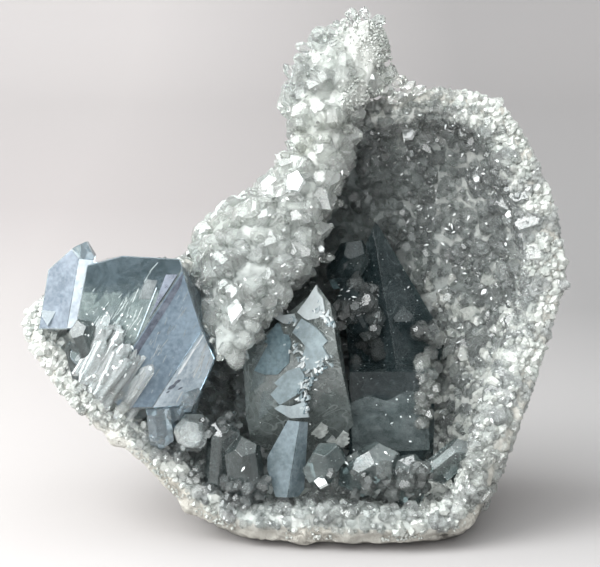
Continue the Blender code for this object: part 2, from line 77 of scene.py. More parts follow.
# Fin, upwards: z, x, front y, back y, half width
FIN = np.array((
    (50.0, -18.0, -34.0, -27.0, 1.5), (53.0, -18.0, -35.0, -23.0, 4.5), (58.0, -17.0, -35.0, -12.0, 7.0),
    (63.0, -15.3, -33.5, 2.0, 9.5), (72.0, -13.0, -29.0, 11.0, 14.5), (79.0, -10.6, -24.0, 14.0, 16.0),
    (85.0, -7.0, -19.5, 15.0, 12.5), (92.5, 0.5, -14.0, 17.0, 8.5), (100.0, 5.0, -9.0, 19.0, 7.5),
    (106.0, 6.5, -6.0, 20.0, 7.5), (113.0, 6.6, -4.0, 20.0, 9.5), (120.0, 11.0, -1.0, 20.0, 12.0),
    (127.0, 12.4, 1.0, 18.0, 11.0), (132.0, 14.0, 3.0, 16.0, 8.0), (136.5, 18.0, 6.0, 13.0, 2.0),
))

# Large crystals: centre, then each face as degrees round from the right, degrees lifted to the viewer
# and distance
LEFT = ((-40.3, -24.0, 56.5), (
    (85, -5, 18.9), (106, 5, 21.8), (171, -5, 18.2), (225, 0, 19.0), (270, 0, 20.0), (294, 5, 21.4),
    (335, 10, 18.5), (13, 10, 15.2), (27, 0, 16.6), (147, 70, 12.5), (327, 62, 11.1), (327, 44, 12.9),
    (147, -60, 12.0), (327, -60, 12.0),
))
UPPER = ((-62.0, -17.0, 69.0), (
    (171, 0, 5.9), (130, 0, 5.8), (118, 0, 7.2), (34, 5, 9.5), (349, 0, 5.6), (270, 0, 13.0),
    (170, 62, 4.0), (350, 60, 6.0), (60, 35, 9.0), (170, -60, 4.5), (350, -60, 4.5),
))
CENTRAL = ((0.0, -16.0, 38.4), (
    (37, 0, 20.7), (9, 5, 12.7), (133, 5, 17.9), (183, 0, 15.1), (191, 0, 15.9), (270, 0, 31.0),
    (185, 62, 5.9), (280, 55, 5.0), (185, -60, 9.0), (5, -60, 9.0),
))
FRONT = ((-2.7, -28.0, 24.1), (
    (150, 0, 5.1), (180, 0, 6.4), (198, 0, 7.4), (270, 0, 12.0), (320, 0, 9.5), (357, 0, 4.4), (85, 0, 9.3),
    (185, 68, 3.6), (345, 45, 4.0), (90, -60, 9.0), (270, -60, 9.0),
))

# Numbers of the faces that carry skins and plates
LEFT_SIDE = 9
LEFT_FRONT = 10
LEFT_BEVEL = 11
UPPER_LEFT = 6
UPPER_RIGHT = 7
CENTRAL_LEFT = 6
CENTRAL_RIGHT = 7
FRONT_TOP = 7
FRONT_SIDE = 8

# Celestite's angles and index of refraction
PRISM_ANGLE = 52.1
CHISEL_ANGLE = 38.0
DOME_ANGLE = 50.6
IOR = 1.62
GROWN_IOR = 1.4

# Camera: how far off, the height that it looks at, and the width that it sees there
CAMERA_AWAY = 600.0
CAMERA_AIM = np.array((0.0, 0.0, 64.6))
CAMERA_WIDTH = 166.2
SENSOR = 36.0

# Grids
SHELL_COLUMNS = 440
SHELL_ROWS = (104, 20, 44)
FIN_COLUMNS = 200
FIN_ROWS = 260
STEP = 0.004

rng = np.random.default_rng(SEED)


# Shapes


def unit(vectors):
    """Vectors divided by their length."""
    return vectors / np.maximum(np.linalg.norm(vectors, axis=-1, keepdims=True), 1e-12)


def view_frame():
    """Right, up and toward the viewer, for someone who looks from LOOK_DOWN degrees above the level."""
    tilt = math.radians(LOOK_DOWN)
    right = np.array((1.0, 0.0, 0.0))
    up = np.array((0.0, math.sin(tilt), math.cos(tilt)))
    toward = np.array((0.0, -math.cos(tilt), math.sin(tilt)))
    return right, up, toward


def direction(turn, toward):
    """Unit vector: cos(toward) times the direction at turn degrees in the view, plus sin(toward) to the
    viewer."""
    right, up, near = view_frame()
    a = math.radians(turn)
    b = math.radians(toward)
    return math.cos(b) * (math.cos(a) * right + math.sin(a) * up) + math.sin(b) * near


def smooth_through(points, places, closed):
    """Catmull-Rom curve: the cubic through four neighbouring points, read at places counted along them."""
    count = len(points)
    first = np.floor(places).astype(int)
    if not closed:
        first = np.clip(first, 0, count - 2)
    f = (places - first)[:, None]
    rows = [first - 1, first, first + 1, first + 2]
    if closed:
        p0, p1, p2, p3 = (points[row % count] for row in rows)
    else:
        p0, p1, p2, p3 = (points[np.clip(row, 0, count - 1)] for row in rows)
    return 0.5 * (2 * p1 + (p2 - p0) * f + (2 * p0 - 5 * p1 + 4 * p2 - p3) * f ** 2
                  + (3 * p1 - p0 - 3 * p2 + p3) * f ** 3)


def lumps(points, size, height):
    """Height of soft lumps: products and sums of sine waves across the point divided by size."""
    x, y, z = (points / size).T
    crossed = np.sin(x * 1.7 + y * 1.1 + 0.4) * np.sin(y * 1.5 - z * 1.3)
    return height * (crossed + np.sin(z * 1.9 + x * 0.7 + 2.0) * 0.7)


def grain(points, size, seed=0):
    """Smooth random height from -1 to 1: a value for each corner of cubes of that size, from a hash of its
    place, blended between the eight corners round the point by 3f^2 - 2f^3."""
    scaled = points / size
    cell = np.floor(scaled).astype(np.int64)
    f = scaled - cell
    f = f * f * (3 - 2 * f)
    total = np.zeros(len(points))
    for corner in itertools.product((0, 1), repeat=3):
        at = cell + np.array(corner)
        mixed = (at[:, 0] * 73856093) ^ (at[:, 1] * 19349663) ^ (at[:, 2] * 83492791) ^ (seed * 6542989 + 977)
        mixed = ((mixed ^ (mixed >> 11)) * 668265263) & 0xFFFFFFFF
        mixed = ((mixed ^ (mixed >> 15)) * 374761393) & 0xFFFFFFFF
        value = ((mixed >> 9) & 0xFFFF) / 32767.5 - 1.0
        weight = np.prod(np.where(np.array(corner) == 1, f, 1 - f), axis=1)
        total += value * weight
    return total


def grain_sum(points, rows, seed):
    """Sum of smooth random heights, each with a seed of its own. A row is a height and a size."""
    return sum(height * grain(points, size, seed + number) for number, (height, size) in enumerate(rows))


def rim_point(u, inset):
    """Rim at u (0 to 1 round it), moved towards the hollow's centre by inset times the rind's thickness."""
    curve = smooth_through(RIM, u * len(RIM), closed=True)
    point = curve[:, :3]
    outward = point - HOLLOW_CENTRE
    outward[:, 1] = 0.0
    return point - unit(outward) * (curve[:, 3] * inset)[:, None]


def bowl_point(u, t, inset, pole, low, high, right):
    """Superellipse: centre + rim offset * cos(t pi/2)^p + pole offset * sin(t pi/2)^p, where p goes from low
    at the bottom to high at the top and grows by right towards the right."""
    edge = rim_point(u, np.full(len(u), inset)) - HOLLOW_CENTRE
    height = np.clip(0.5 + edge[:, 2] / POWER_HEIGHT, 0.0, 1.0)
    side = np.clip(edge[:, 0] / POWER_WIDTH, 0.0, 1.0)
    power = (low + (high - low) * height + right * side)[:, None]
    angle = (np.clip(t, 0.0, 1.0) * math.pi / 2)[:, None]
    return HOLLOW_CENTRE + edge * np.cos(angle) ** power + (pole - HOLLOW_CENTRE) * np.sin(angle) ** power


def outside(u, t):
    """Rind's outer surface: the bowl, let down by SAG where it is low, with soft lumps, cut flat at z = 0."""
    point = bowl_point(u, t, 0.0, BACK_POLE, BOXY, ROUND, 0.0)
    fade = np.sin(np.clip(t, 0.0, 1.0) * math.pi)
    point[:, 2] -= SAG * fade ** SAG_POWER * np.clip((SAG_BELOW - point[:, 2]) / SAG_BELOW, 0.0, 1.0)
    point += unit(point - HOLLOW_CENTRE) * (lumps(point, LUMP_SIZE, LUMP) * fade)[:, None]
    point[:, 2] = np.maximum(point[:, 2], 0.0)
    return point


def inside(u, t):
    """Rind's inner surface, which the hollow's crystals stand on: the same bowl, one rind further in."""
    return bowl_point(u, t, 1.0, HOLLOW_END, BOXY, HOLLOW_POWER, HOLLOW_TAPER)


def edge_band(u, t):
    """Broken rim from its outer edge (t = 0) to its inner edge (t = 1), crowned forwards by a half sine."""
    point = rim_point(u, t)
    point[:, 1] -= RIM_CROWN * np.sin(np.clip(t, 0.0, 1.0) * math.pi)
    point[:, 2] = np.maximum(point[:, 2], 0.5)
    return point


def fin_point(u, v):
    """Fin: level ovals |cos|^0.8, |sin|^0.8 whose middle, width and depth follow a smooth curve upwards."""
    z, x, front, back, half = smooth_through(FIN, np.clip(v, 0.0, 1.0) * (len(FIN) - 1), closed=False).T
    angle = u * 2 * math.pi
    across = np.sign(np.cos(angle)) * np.abs(np.cos(angle)) ** FIN_POWER
    deep = np.sign(np.sin(angle)) * np.abs(np.sin(angle)) ** FIN_POWER
    return np.stack([x + half * across, (front + back) / 2 + (back - front) / 2 * deep, z], axis=1)


# Meshes


def make_mesh(name, points, loops, sizes, smooth=False, **values):
    """Object at the origin from points in millimetres, the corner numbers of its faces one after another, and
    each face's number of corners. Each further value is a number per point."""
    mesh = bpy.data.meshes.new(name)
    mesh.vertices.add(len(points))
    mesh.vertices.foreach_set("co", ((points + TO_ORIGIN) * MM).astype(np.float32).ravel())
    mesh.loops.add(len(loops))
    mesh.loops.foreach_set("vertex_index", np.asarray(loops, np.int32))
    mesh.polygons.add(len(sizes))
    starts = np.concatenate([[0], np.cumsum(sizes)[:-1]])
    mesh.polygons.foreach_set("loop_start", starts.astype(np.int32))
    mesh.polygons.foreach_set("use_smooth", np.full(len(sizes), smooth))
    mesh.update(calc_edges=True)
    mesh.validate()
    for key, value in values.items():
        layer = mesh.attributes.new(key, "FLOAT", "POINT")
        layer.data.foreach_set("value", np.asarray(value, np.float32))
    thing = bpy.data.objects.new(name, mesh)
    bpy.context.scene.collection.objects.link(thing)
    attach(thing, "root")
    return thing


def tube_faces(rows, columns):
    """Faces of rows of points that each close on themselves, with one point more to close each end: quads
    between rows, then fans. The first row faces the first end."""
    across = np.arange(columns)
    after = (across + 1) % columns
    base = np.arange(rows - 1)[:, None] * columns
    quads = np.stack([base + across, base + after, base + columns + after, base + columns + across], axis=-1)
    first = rows * columns
    last = (rows - 1) * columns
    start = np.stack([np.full(columns, first), after, across], axis=-1)
    end = np.stack([np.full(columns, first + 1), last + across, last + after], axis=-1)
    loops = np.concatenate([quads.reshape(-1), start.reshape(-1), end.reshape(-1)])
    sizes = np.concatenate([np.full((rows - 1) * columns, 4), np.full(2 * columns, 3)])
    return loops, sizes


def grid_normals(grid):
    """Unit normals of a grid of rows that close on themselves, from the differences of neighbours."""
    along = np.roll(grid, -1, axis=1) - np.roll(grid, 1, axis=1)
    down = np.gradient(grid, axis=0)
    return unit(np.cross(along, down))


def corners(normals, distances):
    """Corners of the space behind every face: where three faces meet, kept if behind all faces."""
    found = []
    for trio in itertools.combinations(range(len(normals)), 3):
        rows = normals[list(trio)]
        if abs(np.linalg.det(rows)) < 1e-4:
            continue
        point = np.linalg.solve(rows, distances[list(trio)])
        if np.all(normals @ point <= distances + 1e-6):
            found.append(point)
    return np.unique(np.round(found, 5), axis=0)


def hull(points):
    """Points, corner numbers and corner counts of the convex form round points, flat faces in one piece."""
    work = bmesh.new()
    for point in points:
        work.verts.new(point)
    bmesh.ops.convex_hull(work, input=work.verts)
    bmesh.ops.dissolve_limit(work, angle_limit=math.radians(1.0), verts=work.verts, edges=work.edges)
    work.verts.index_update()
    found = np.array([vert.co[:] for vert in work.verts])
    loops = [vert.index for face in work.faces for vert in face.verts]
    sizes = [len(face.verts) for face in work.faces]
    work.free()
    return found, np.array(loops), np.array(sizes)


def habit(width, thickness, steep, cap, stretch, rng):
    """Celestite's form, one unit long: two broad faces, four prism faces at PRISM_ANGLE, and chisel and dome
    faces at both ends, steeper by steep degrees, each moved in or out by up to stretch. Flat ends cut the
    tips off at cap from the middle."""
    prism = math.radians(PRISM_ANGLE)
    chisel = math.radians(CHISEL_ANGLE + steep)
    dome = math.radians(DOME_ANGLE + steep)
    normals = [(1, 0, 0), (-1, 0, 0), (0, 0, 1), (0, 0, -1)]
    distances = [thickness / 2, thickness / 2, cap, cap]
    for one, other in itertools.product((1, -1), repeat=2):
        normals.append((one * math.cos(prism), other * math.sin(prism), 0))
        distances.append(width / 2 * math.sin(prism))
        normals.append((0, other * math.sin(chisel), one * math.cos(chisel)))
        distances.append(0.5 * math.cos(chisel))
        normals.append((other * math.sin(dome), 0, one * math.cos(dome)))
        distances.append(0.5 * math.cos(dome) * 1.06)
    distances = np.array(distances) * rng.uniform(1 - stretch, 1 + stretch, len(distances))
    return hull(corners(np.array(normals, float), distances))


def forms(count, width, thickness, rng, stretch=0.16, steep=(0.0, 0.0), cap=(0.5, 0.5)):
    """Several crystal forms, each with a width, thickness, steepness and cap from these ranges."""
    return [habit(rng.uniform(*width), rng.uniform(*thickness), rng.uniform(*steep), rng.uniform(*cap),
                  stretch, rng) for _ in range(count)]


def scatter(surface, part, tries, apart, rng, flip=False):
    """Places on part of surface(u, v), even by area, with one in each cube of side apart, and the normals."""
    low, high = part
    u = rng.uniform(low[0], high[0], tries)
    v = rng.uniform(low[1], high[1], tries)
    place = surface(u, v)
    round_it = surface(u + STEP, v) - surface(u - STEP, v)
    along_it = surface(u, v + STEP) - surface(u, v - STEP)
    normal = np.cross(round_it, along_it)
    area = np.linalg.norm(normal, axis=1)
    kept = rng.uniform(0.0, np.percentile(area, 99), tries) < area
    place = place[kept]
    normal = unit(normal[kept]) * (-1.0 if flip else 1.0)
    cells = np.floor(place / apart).astype(int)
    first = np.unique(cells, axis=0, return_index=True)[1]
    return place[first], normal[first]


def turned(axes, rng):
    """Rotations whose third column is axes, rolled at random."""
    side = unit(np.cross(rng.normal(0.0, 1.0, axes.shape), axes))
    return np.stack([side, np.cross(axes, side), axes], axis=2)


def grow(name, places, axes, sizes, shapes, rng, rise, turn=None, **values):
    """One mesh of many crystals: each form's points, scaled by sizes and turned to axes, stand on places with
    their middle raised by rise times the size. Each value is given to all the points of its crystal."""
    turn = turned(axes, rng) if turn is None else turn
    which = rng.integers(len(shapes), size=len(places))
    middle = places + axes * (sizes * rise)[:, None]
    points, loops, counts, carried = [], [], [], {key: [] for key in values}
    start = 0
    for number, (form, corner, face) in enumerate(shapes):
        chosen = np.flatnonzero(which == number)
        scaled = form[None, :, :] * sizes[chosen, None, None]
        made = np.einsum("nij,nkj->nki", turn[chosen], scaled) + middle[chosen, None, :]
        points.append(made.reshape(-1, 3))
        offsets = start + np.arange(len(chosen)) * len(form)
        loops.append((corner[None, :] + offsets[:, None]).ravel())
        counts.append(np.tile(face, len(chosen)))
        for key, value in values.items():
            carried[key].append(np.repeat(value[chosen], len(form)))
        start += len(chosen) * len(form)
    carried = {key: np.concatenate(value) for key, value in carried.items()}
    points = np.vstack(points)
    points[:, 2] = np.maximum(points[:, 2], 0.0)
    return make_mesh(name, points, np.concatenate(loops), np.concatenate(counts), **carried)


def lean(normals, amount, rng):
    """Normals tipped at random: unit of the normal plus a random vector of that spread."""
    return unit(normals + rng.normal(0.0, amount, normals.shape))


def fall(value, start, end):
    """0 at start and before, 1 at end and after, and 3f^2 - 2f^3 between."""
    f = np.clip((value - start) / (end - start), 0.0, 1.0)
    return f * f * (3 - 2 * f)


def hollow_painted_light(places):
    """Painted light and shade on the hollow's lining, 0 to 1: dark behind the fin and deep inside, where
    shade falls, lighter in two steps towards the right rim, and light at the bottom and at the left."""
    x, y, z = places.T
    side = 0.1 + 0.4 * fall(x, 14.0, 32.0) + 0.25 * fall(x, 36.0, 50.0) + 0.2 * fall(x, 50.0, 66.0)
    low = np.maximum(0.5 * fall(-z, -26.0, -6.0), 0.8 * fall(x, 26.0, 33.0) * fall(-z, -66.0, -52.0))
    left = 0.5 * fall(-x, 20.0, 50.0)
    front = fall(-y, 0.0, 36.0)
    return np.clip(np.maximum.reduce([side, low, left]) * (0.85 + 0.15 * front), 0.0, 1.0)


# White granular patches of the rim, the base and the fin: x, z, radius
PATCHES = np.array((
    (19.0, 131.0, 10.0), (14.0, 117.0, 6.0), (55.0, 101.0, 13.0), (49.0, 107.0, 9.0), (67.0, 88.0, 6.0),
    (70.0, 72.0, 7.0), (69.0, 60.0, 7.0), (64.0, 46.0, 6.0), (-73.0, 54.0, 9.0), (-62.0, 38.0, 11.0),
    (-50.0, 26.0, 11.0), (-38.0, 15.0, 9.0), (-24.0, 6.0, 7.0), (-68.0, 46.0, 8.0), (2.0, 2.0, 7.0),
    (28.0, 2.0, 8.0), (45.0, 8.0, 6.0),
))


def sugar(places):
    """How white and granular the rim is, 0 to 1: the nearest patch's bell exp(-(distance / radius)^2),
    roughened by grains of two sizes."""
    away = np.linalg.norm(places[:, None, [0, 2]] - PATCHES[None, :, :2], axis=2) / PATCHES[:, 2]
    bell = np.exp(-away ** 2).max(axis=1)
    white = bell * 1.25 + 0.3 * grain(places, 9.0, 21) + 0.25 * grain(places, 3.0, 22)
    return np.clip(white - 0.12, 0.0, 1.0)


def sight(right_mm, up_mm):
    """Camera's place and the unit direction through a point that far right and up of what it aims at."""
    right, up, toward = view_frame()
    eye = CAMERA_AIM + toward * CAMERA_AWAY
    seen = CAMERA_AIM + np.multiply.outer(right_mm, right) + np.multiply.outer(up_mm, up)
    return eye, unit(seen - eye)


def seen_on_plane(right_mm, up_mm, point, normal):
    """Where the lines of sight meet the plane at point: eye + way * (point - eye).normal / way.normal."""
    eye, way = sight(np.asarray(right_mm, float), np.asarray(up_mm, float))
    return eye + way * (((point - eye) @ normal) / (way @ normal))[..., None]


def tree_of(*things):
    """What lines of sight are tried against: the pieces' finished faces, in metres."""
    graph = bpy.context.evaluated_depsgraph_get()
    points, faces = [], []
    for thing in things:
        mesh = thing.evaluated_get(graph).to_mesh()
        start = len(points)
        points += [vert.co.copy() for vert in mesh.vertices]
        faces += [[start + i for i in face.vertices] for face in mesh.polygons]
    return BVHTree.FromPolygons(points, faces)


def seen_on(tree, rights, ups):
    """First points and normals that the lines of sight meet, in millimetres, and which lines meet one."""
    eye, ways = sight(rights, ups)
    start = Vector((eye + TO_ORIGIN) * MM)
    hits = [tree.ray_cast(start, Vector(way)) for way in ways]
    met = np.array([hit[0] is not None for hit in hits])
    places = np.array([hit[0] for hit in hits if hit[0] is not None]) / MM - TO_ORIGIN
    normals = np.array([hit[1] for hit in hits if hit[0] is not None])
    return places, normals, met


# Finishes


WHITE = (0.96, 0.97, 0.96)
WARM = (1.0, 0.985, 0.945)
BLACK = (0.0, 0.0, 0.0)
ROCK_IOR = 1.55
LAYER_SHADE = 0.36


def nodes_of(name):
    """New material, its node tree and its Principled shader."""
    finish = bpy.data.materials.new(name)
    finish.use_nodes = True
    tree = finish.node_tree
    return finish, tree, tree.nodes["Principled BSDF"]


def object_place(tree):
    """Object coordinates."""
    return tree.nodes.new("ShaderNodeTexCoord").outputs["Object"]


def feed(tree, node, values):
    """Gives a node's sockets their values: another node's output is linked, and a plain value is set."""
    for name, value in values.items():
        if isinstance(value, bpy.types.NodeSocket):
            tree.links.new(value, node.inputs[name])
        else:
            node.inputs[name].default_value = value


def noise(tree, scale, detail=3.0, roughness=0.55, distortion=0.0):
    """Noise over object coordinates; scale counts its features per metre."""
    node = tree.nodes.new("ShaderNodeTexNoise")
    feed(tree, node, {"Vector": object_place(tree), "Scale": scale, "Detail": detail, "Roughness": roughness,
                      "Distortion": distortion})
    return node.outputs["Fac"]


def ramp(tree, value, stops):
    """Colours or greys at places along a value."""
    node = tree.nodes.new("ShaderNodeValToRGB")
    elements = node.color_ramp.elements
    while len(elements) < len(stops):
        elements.new(0.5)
    for element, (place, colour) in zip(elements, stops):
        element.position = place
        element.color = (*colour, 1.0) if isinstance(colour, tuple) else (colour, colour, colour, 1.0)
    tree.links.new(value, node.inputs["Fac"])
    return node.outputs["Color"]


def patchy(tree, scale, start, end, detail=3.0):
    """Noise that runs from one value to another: start and end are a place along it and the value there."""
    return ramp(tree, noise(tree, scale, detail), (start, end))


def blend(tree, mask, one, other):
    """Colour that goes from one to other as mask goes from 0 to 1."""
    node = tree.nodes.new("ShaderNodeMix")
    node.data_type = "RGBA"
    tree.links.new(mask, node.inputs["Factor"])
    for number, value in ((6, one), (7, other)):
        if isinstance(value, tuple):
            node.inputs[number].default_value = (*value, 1.0)
        else:
            tree.links.new(value, node.inputs[number])
    return node.outputs[2]


def attribute(tree, name):
    """A number that the mesh carries on its points."""
    node = tree.nodes.new("ShaderNodeAttribute")
    node.attribute_name = name
    return node.outputs["Fac"]


def bump(tree, height, strength, distance, shader):
    """Relief from a height in metres."""
    node = tree.nodes.new("ShaderNodeBump")
    feed(tree, node, {"Height": height, "Strength": strength, "Distance": distance})
    feed(tree, shader, {"Normal": node.outputs["Normal"]})


def rock(name, dark, light, warm, deep, outer):
    """Granular rock: patches of two colours, a rough and dry surface and a fine bump. Where the mesh's tone
    is low it is deep in colour. Outside, where the mesh's warmth is 1, that depth is warm and not cold, and
    there are stains and, in patches, brown layers."""
    finish, tree, shader = nodes_of(name)
    patches = blend(tree, patchy(tree, 90.0, (0.35, 0.0), (0.62, 1.0)), dark, light)
    outdoors = attribute(tree, "warmth")
    stain = blend(tree, outdoors, patches, warm)
    stained = blend(tree, patchy(tree, 45.0, (0.52, 0.0), (0.7, 1.0), 4.0), patches, stain)
    layers = tree.nodes.new("ShaderNodeTexWave")
    layers.bands_direction = "DIAGONAL"
    feed(tree, layers, {"Vector": object_place(tree), "Scale": 130.0, "Distortion": 9.0, "Detail": 5.0,
                        "Detail Scale": 2.2})
    brown = ramp(tree, layers.outputs["Fac"], ((0.0, 0.75), (0.5, 0.0)))
    toned = blend(tree, attribute(tree, "tone"), blend(tree, outdoors, deep, outer), stained)
    layered = blend(tree, outdoors, BLACK, patchy(tree, 42.0, (0.38, 0.12), (0.62, 0.8)))
    layer = blend(tree, layered, toned, tuple(LAYER_SHADE * part for part in warm))
    ledges = blend(tree, layered, noise(tree, 900.0, 5.0, 0.7), layers.outputs["Fac"])
    feed(tree, shader, {
        "Base Color": blend(tree, brown, toned, layer),
        "Roughness": patchy(tree, 700.0, (0.3, 0.42), (0.7, 0.85)),
        "IOR": ROCK_IOR,
    })
    bump(tree, ledges, 0.9, 0.0009, shader)
    return finish


def mottling():
    """Node group: coarse and fine noise added, spread round a half by the contrast."""
    group = bpy.data.node_groups.new("mottling", "ShaderNodeTree")
    group.interface.new_socket("Vector", in_out="INPUT", socket_type="NodeSocketVector")
    for name in ("Coarse Scale", "Fine Scale", "Contrast"):
        group.interface.new_socket(name, in_out="INPUT", socket_type="NodeSocketFloat")
    group.interface.new_socket("Value", in_out="OUTPUT", socket_type="NodeSocketFloat")
    start = group.nodes.new("NodeGroupInput")
    end = group.nodes.new("NodeGroupOutput")
    layers = []
    for name in ("Coarse Scale", "Fine Scale"):
        layer = group.nodes.new("ShaderNodeTexNoise")
        feed(group, layer, {"Vector": start.outputs["Vector"], "Scale": start.outputs[name], "Detail": 3.0})
        layers.append(layer.outputs["Fac"])
    total, centred, spread = (group.nodes.new("ShaderNodeMath") for _ in range(3))
    centred.operation = "SUBTRACT"
    spread.operation = "MULTIPLY_ADD"
    feed(group, total, {0: layers[0], 1: layers[1]})
    feed(group, centred, {0: total.outputs["Value"], 1: 1.0})
    feed(group, spread, {0: centred.outputs["Value"], 1: start.outputs["Contrast"], 2: 0.5})
    feed(group, end, {"Value": spread.outputs["Value"]})
    return group


MOTTLING = mottling()


def mottled(tree, coarse, fine, contrast):
    """The mottling group over object coordinates, with scales per metre."""
    node = tree.nodes.new("ShaderNodeGroup")
    node.node_tree = MOTTLING
    feed(tree, node, {"Vector": object_place(tree), "Coarse Scale": coarse, "Fine Scale": fine,
                      "Contrast": contrast})
    return node.outputs["Value"]


def druse(name, dark, light, clear, ior=GROWN_IOR, coat=0.3):
    """Small crystals: each one's tone runs from dark to light and is mottled, and milky ones are paler. They
    have grown into each other, so light is bent less between them than in air: hence GROWN_IOR."""
    finish, tree, shader = nodes_of(name)
    warm = tuple(part * share for part, share in zip(light, WARM))
    stained = blend(tree, patchy(tree, 22.0, (0.5, 0.0), (0.62, 1.0), 1.0), light, warm)
    toned = blend(tree, attribute(tree, "tone"), dark, stained)
    shade = blend(tree, mottled(tree, 240.0, 900.0, 1.2), dark, toned)
    feed(tree, shader, {
        "Base Color": blend(tree, attribute(tree, "milk"), shade, WHITE),
        "Roughness": patchy(tree, 500.0, (0.35, 0.02), (0.7, 0.08)),
        "Transmission Weight": clear, "IOR": ior, "Coat Weight": coat, "Coat Roughness": 0.04,
    })
    bump(tree, noise(tree, 900.0, 2.0), 0.15, 0.0004, shader)
    return finish


def gem(name, tint, haze, absorb, density, roughness, clear, ior=IOR):
    """Large clear crystal: glass that takes up light on the way through, mottled, with pale cloudy veins
    where a strongly bent noise is close to a half."""
    finish, tree, shader = nodes_of(name)
    body = blend(tree, mottled(tree, 90.0, 700.0, 2.2), tint, haze)
    veins = ramp(tree, noise(tree, 130.0, 2.0, 0.5, 1.2), ((0.485, 0.0), (0.5, 0.7), (0.515, 0.0)))
    feed(tree, shader, {
        "Base Color": blend(tree, veins, body, tuple(min(1.0, 1.5 * part + 0.08) for part in haze)),
        "Roughness": patchy(tree, 160.0, (0.35, roughness * 0.5), (0.75, roughness * 2.0)),
        "Transmission Weight": clear, "IOR": ior,
    })
    bump(tree, noise(tree, 380.0), 0.12, 0.0004, shader)
    medium = tree.nodes.new("ShaderNodeVolumeAbsorption")
    feed(tree, medium, {"Color": (*absorb, 1.0), "Density": density})
    feed(tree, tree.nodes["Material Output"], {"Volume": medium.outputs["Volume"]})
    return finish


def finish_with(thing, finish):
    """Gives a piece its material."""
    thing.data.materials.clear()
    thing.data.materials.append(finish)
    return thing


def sugar_white(name, shade, white):
    """White granular celestite: two close colours in small patches, dull, with glossy spots."""
    finish, tree, shader = nodes_of(name)
    feed(tree, shader, {
        "Base Color": blend(tree, patchy(tree, 320.0, (0.35, 0.0), (0.6, 1.0)), shade, white),
        "Roughness": patchy(tree, 900.0, (0.4, 0.15), (0.6, 0.6)),
        "Transmission Weight": 0.1, "IOR": IOR,
    })
    bump(tree, noise(tree, 1500.0, 3.0, 0.7), 0.4, 0.0004, shader)
    return finish


SUGAR = sugar_white("white_sugar", (0.31, 0.33, 0.31), (0.47, 0.48, 0.455))
# Its deep cold colour is painted shade, shown where the hollow's tone is low
RIND = rock("pale_rind", (0.80, 0.81, 0.77), (0.95, 0.94, 0.89), (0.86, 0.81, 0.71), (0.20, 0.23, 0.23),
            (0.27, 0.255, 0.225))
MILKY = druse("milky_druse", (0.72, 0.755, 0.735), (0.955, 0.972, 0.955), 0.88, coat=0.25)
RIM_DRUSE = druse("rim_druse", (0.58, 0.615, 0.60), (0.93, 0.945, 0.93), 0.8, coat=0.25)
BLADE = druse("foot_blades", (0.74, 0.81, 0.82), (0.94, 0.975, 0.97), 0.84)
TIPS = druse("clear_tips", (0.84, 0.87, 0.855), (0.97, 0.985, 0.975), 0.95, IOR)
DARK = druse("dark_druse", (0.22, 0.25, 0.25), (0.85, 0.88, 0.88), 0.86)
DIM = druse("hollow_druse", (0.60, 0.645, 0.64), (0.98, 0.99, 0.985), 0.9, coat=0.35)
BLUE = gem("blue_celestite", (0.44, 0.53, 0.58), (0.66, 0.75, 0.80), (0.45, 0.62, 0.72), 30.0, 0.03, 0.85)
TEAL = gem("dark_celestite", (0.065, 0.085, 0.085), (0.15, 0.18, 0.18), (0.35, 0.5, 0.55), 30.0, 0.1,
           0.75)
SMOKY = gem("smoky_celestite", (0.026, 0.046, 0.05), (0.085, 0.115, 0.122), (0.3, 0.42, 0.46), 40.0, 0.05,
            0.7, GROWN_IOR)
GLASSY = gem("glassy_celestite", (0.10, 0.13, 0.13), (0.24, 0.28, 0.277), (0.5, 0.62, 0.64), 30.0, 0.08,
             0.8)
MURKY = gem("murky_celestite", (0.085, 0.115, 0.117), (0.19, 0.225, 0.222), (0.35, 0.5, 0.55), 30.0, 0.08,
            0.7)
CLOUDY = gem("cloudy_celestite", (0.13, 0.15, 0.145), (0.22, 0.25, 0.245), (0.35, 0.5, 0.55), 30.0, 0.12,
             0.5)


# Rind

# Tone of the outside, and share of the painted light and shade that the hollow's rock has
OUTER_TONE = 0.3
HOLLOW_SHADE = 0.65
# Grains, each height and size, and how far the fin's rock lies inside the fin's surface
RIND_GRAINS = ((0.9, 4.2), (0.55, 1.9), (0.3, 0.95))
FIN_GRAINS = ((0.8, 3.6), (0.5, 1.7), (0.25, 0.8))
FIN_SINK = 1.2


def pushed_out(grid, height_of):
    """Points of a grid moved out along the surface's normals by a height, and none below z = 0."""
    flat = grid.reshape(-1, 3)
    flat = flat + grid_normals(grid).reshape(-1, 3) * height_of(flat)[:, None]
    flat[:, 2] = np.maximum(flat[:, 2], 0.0)
    return flat


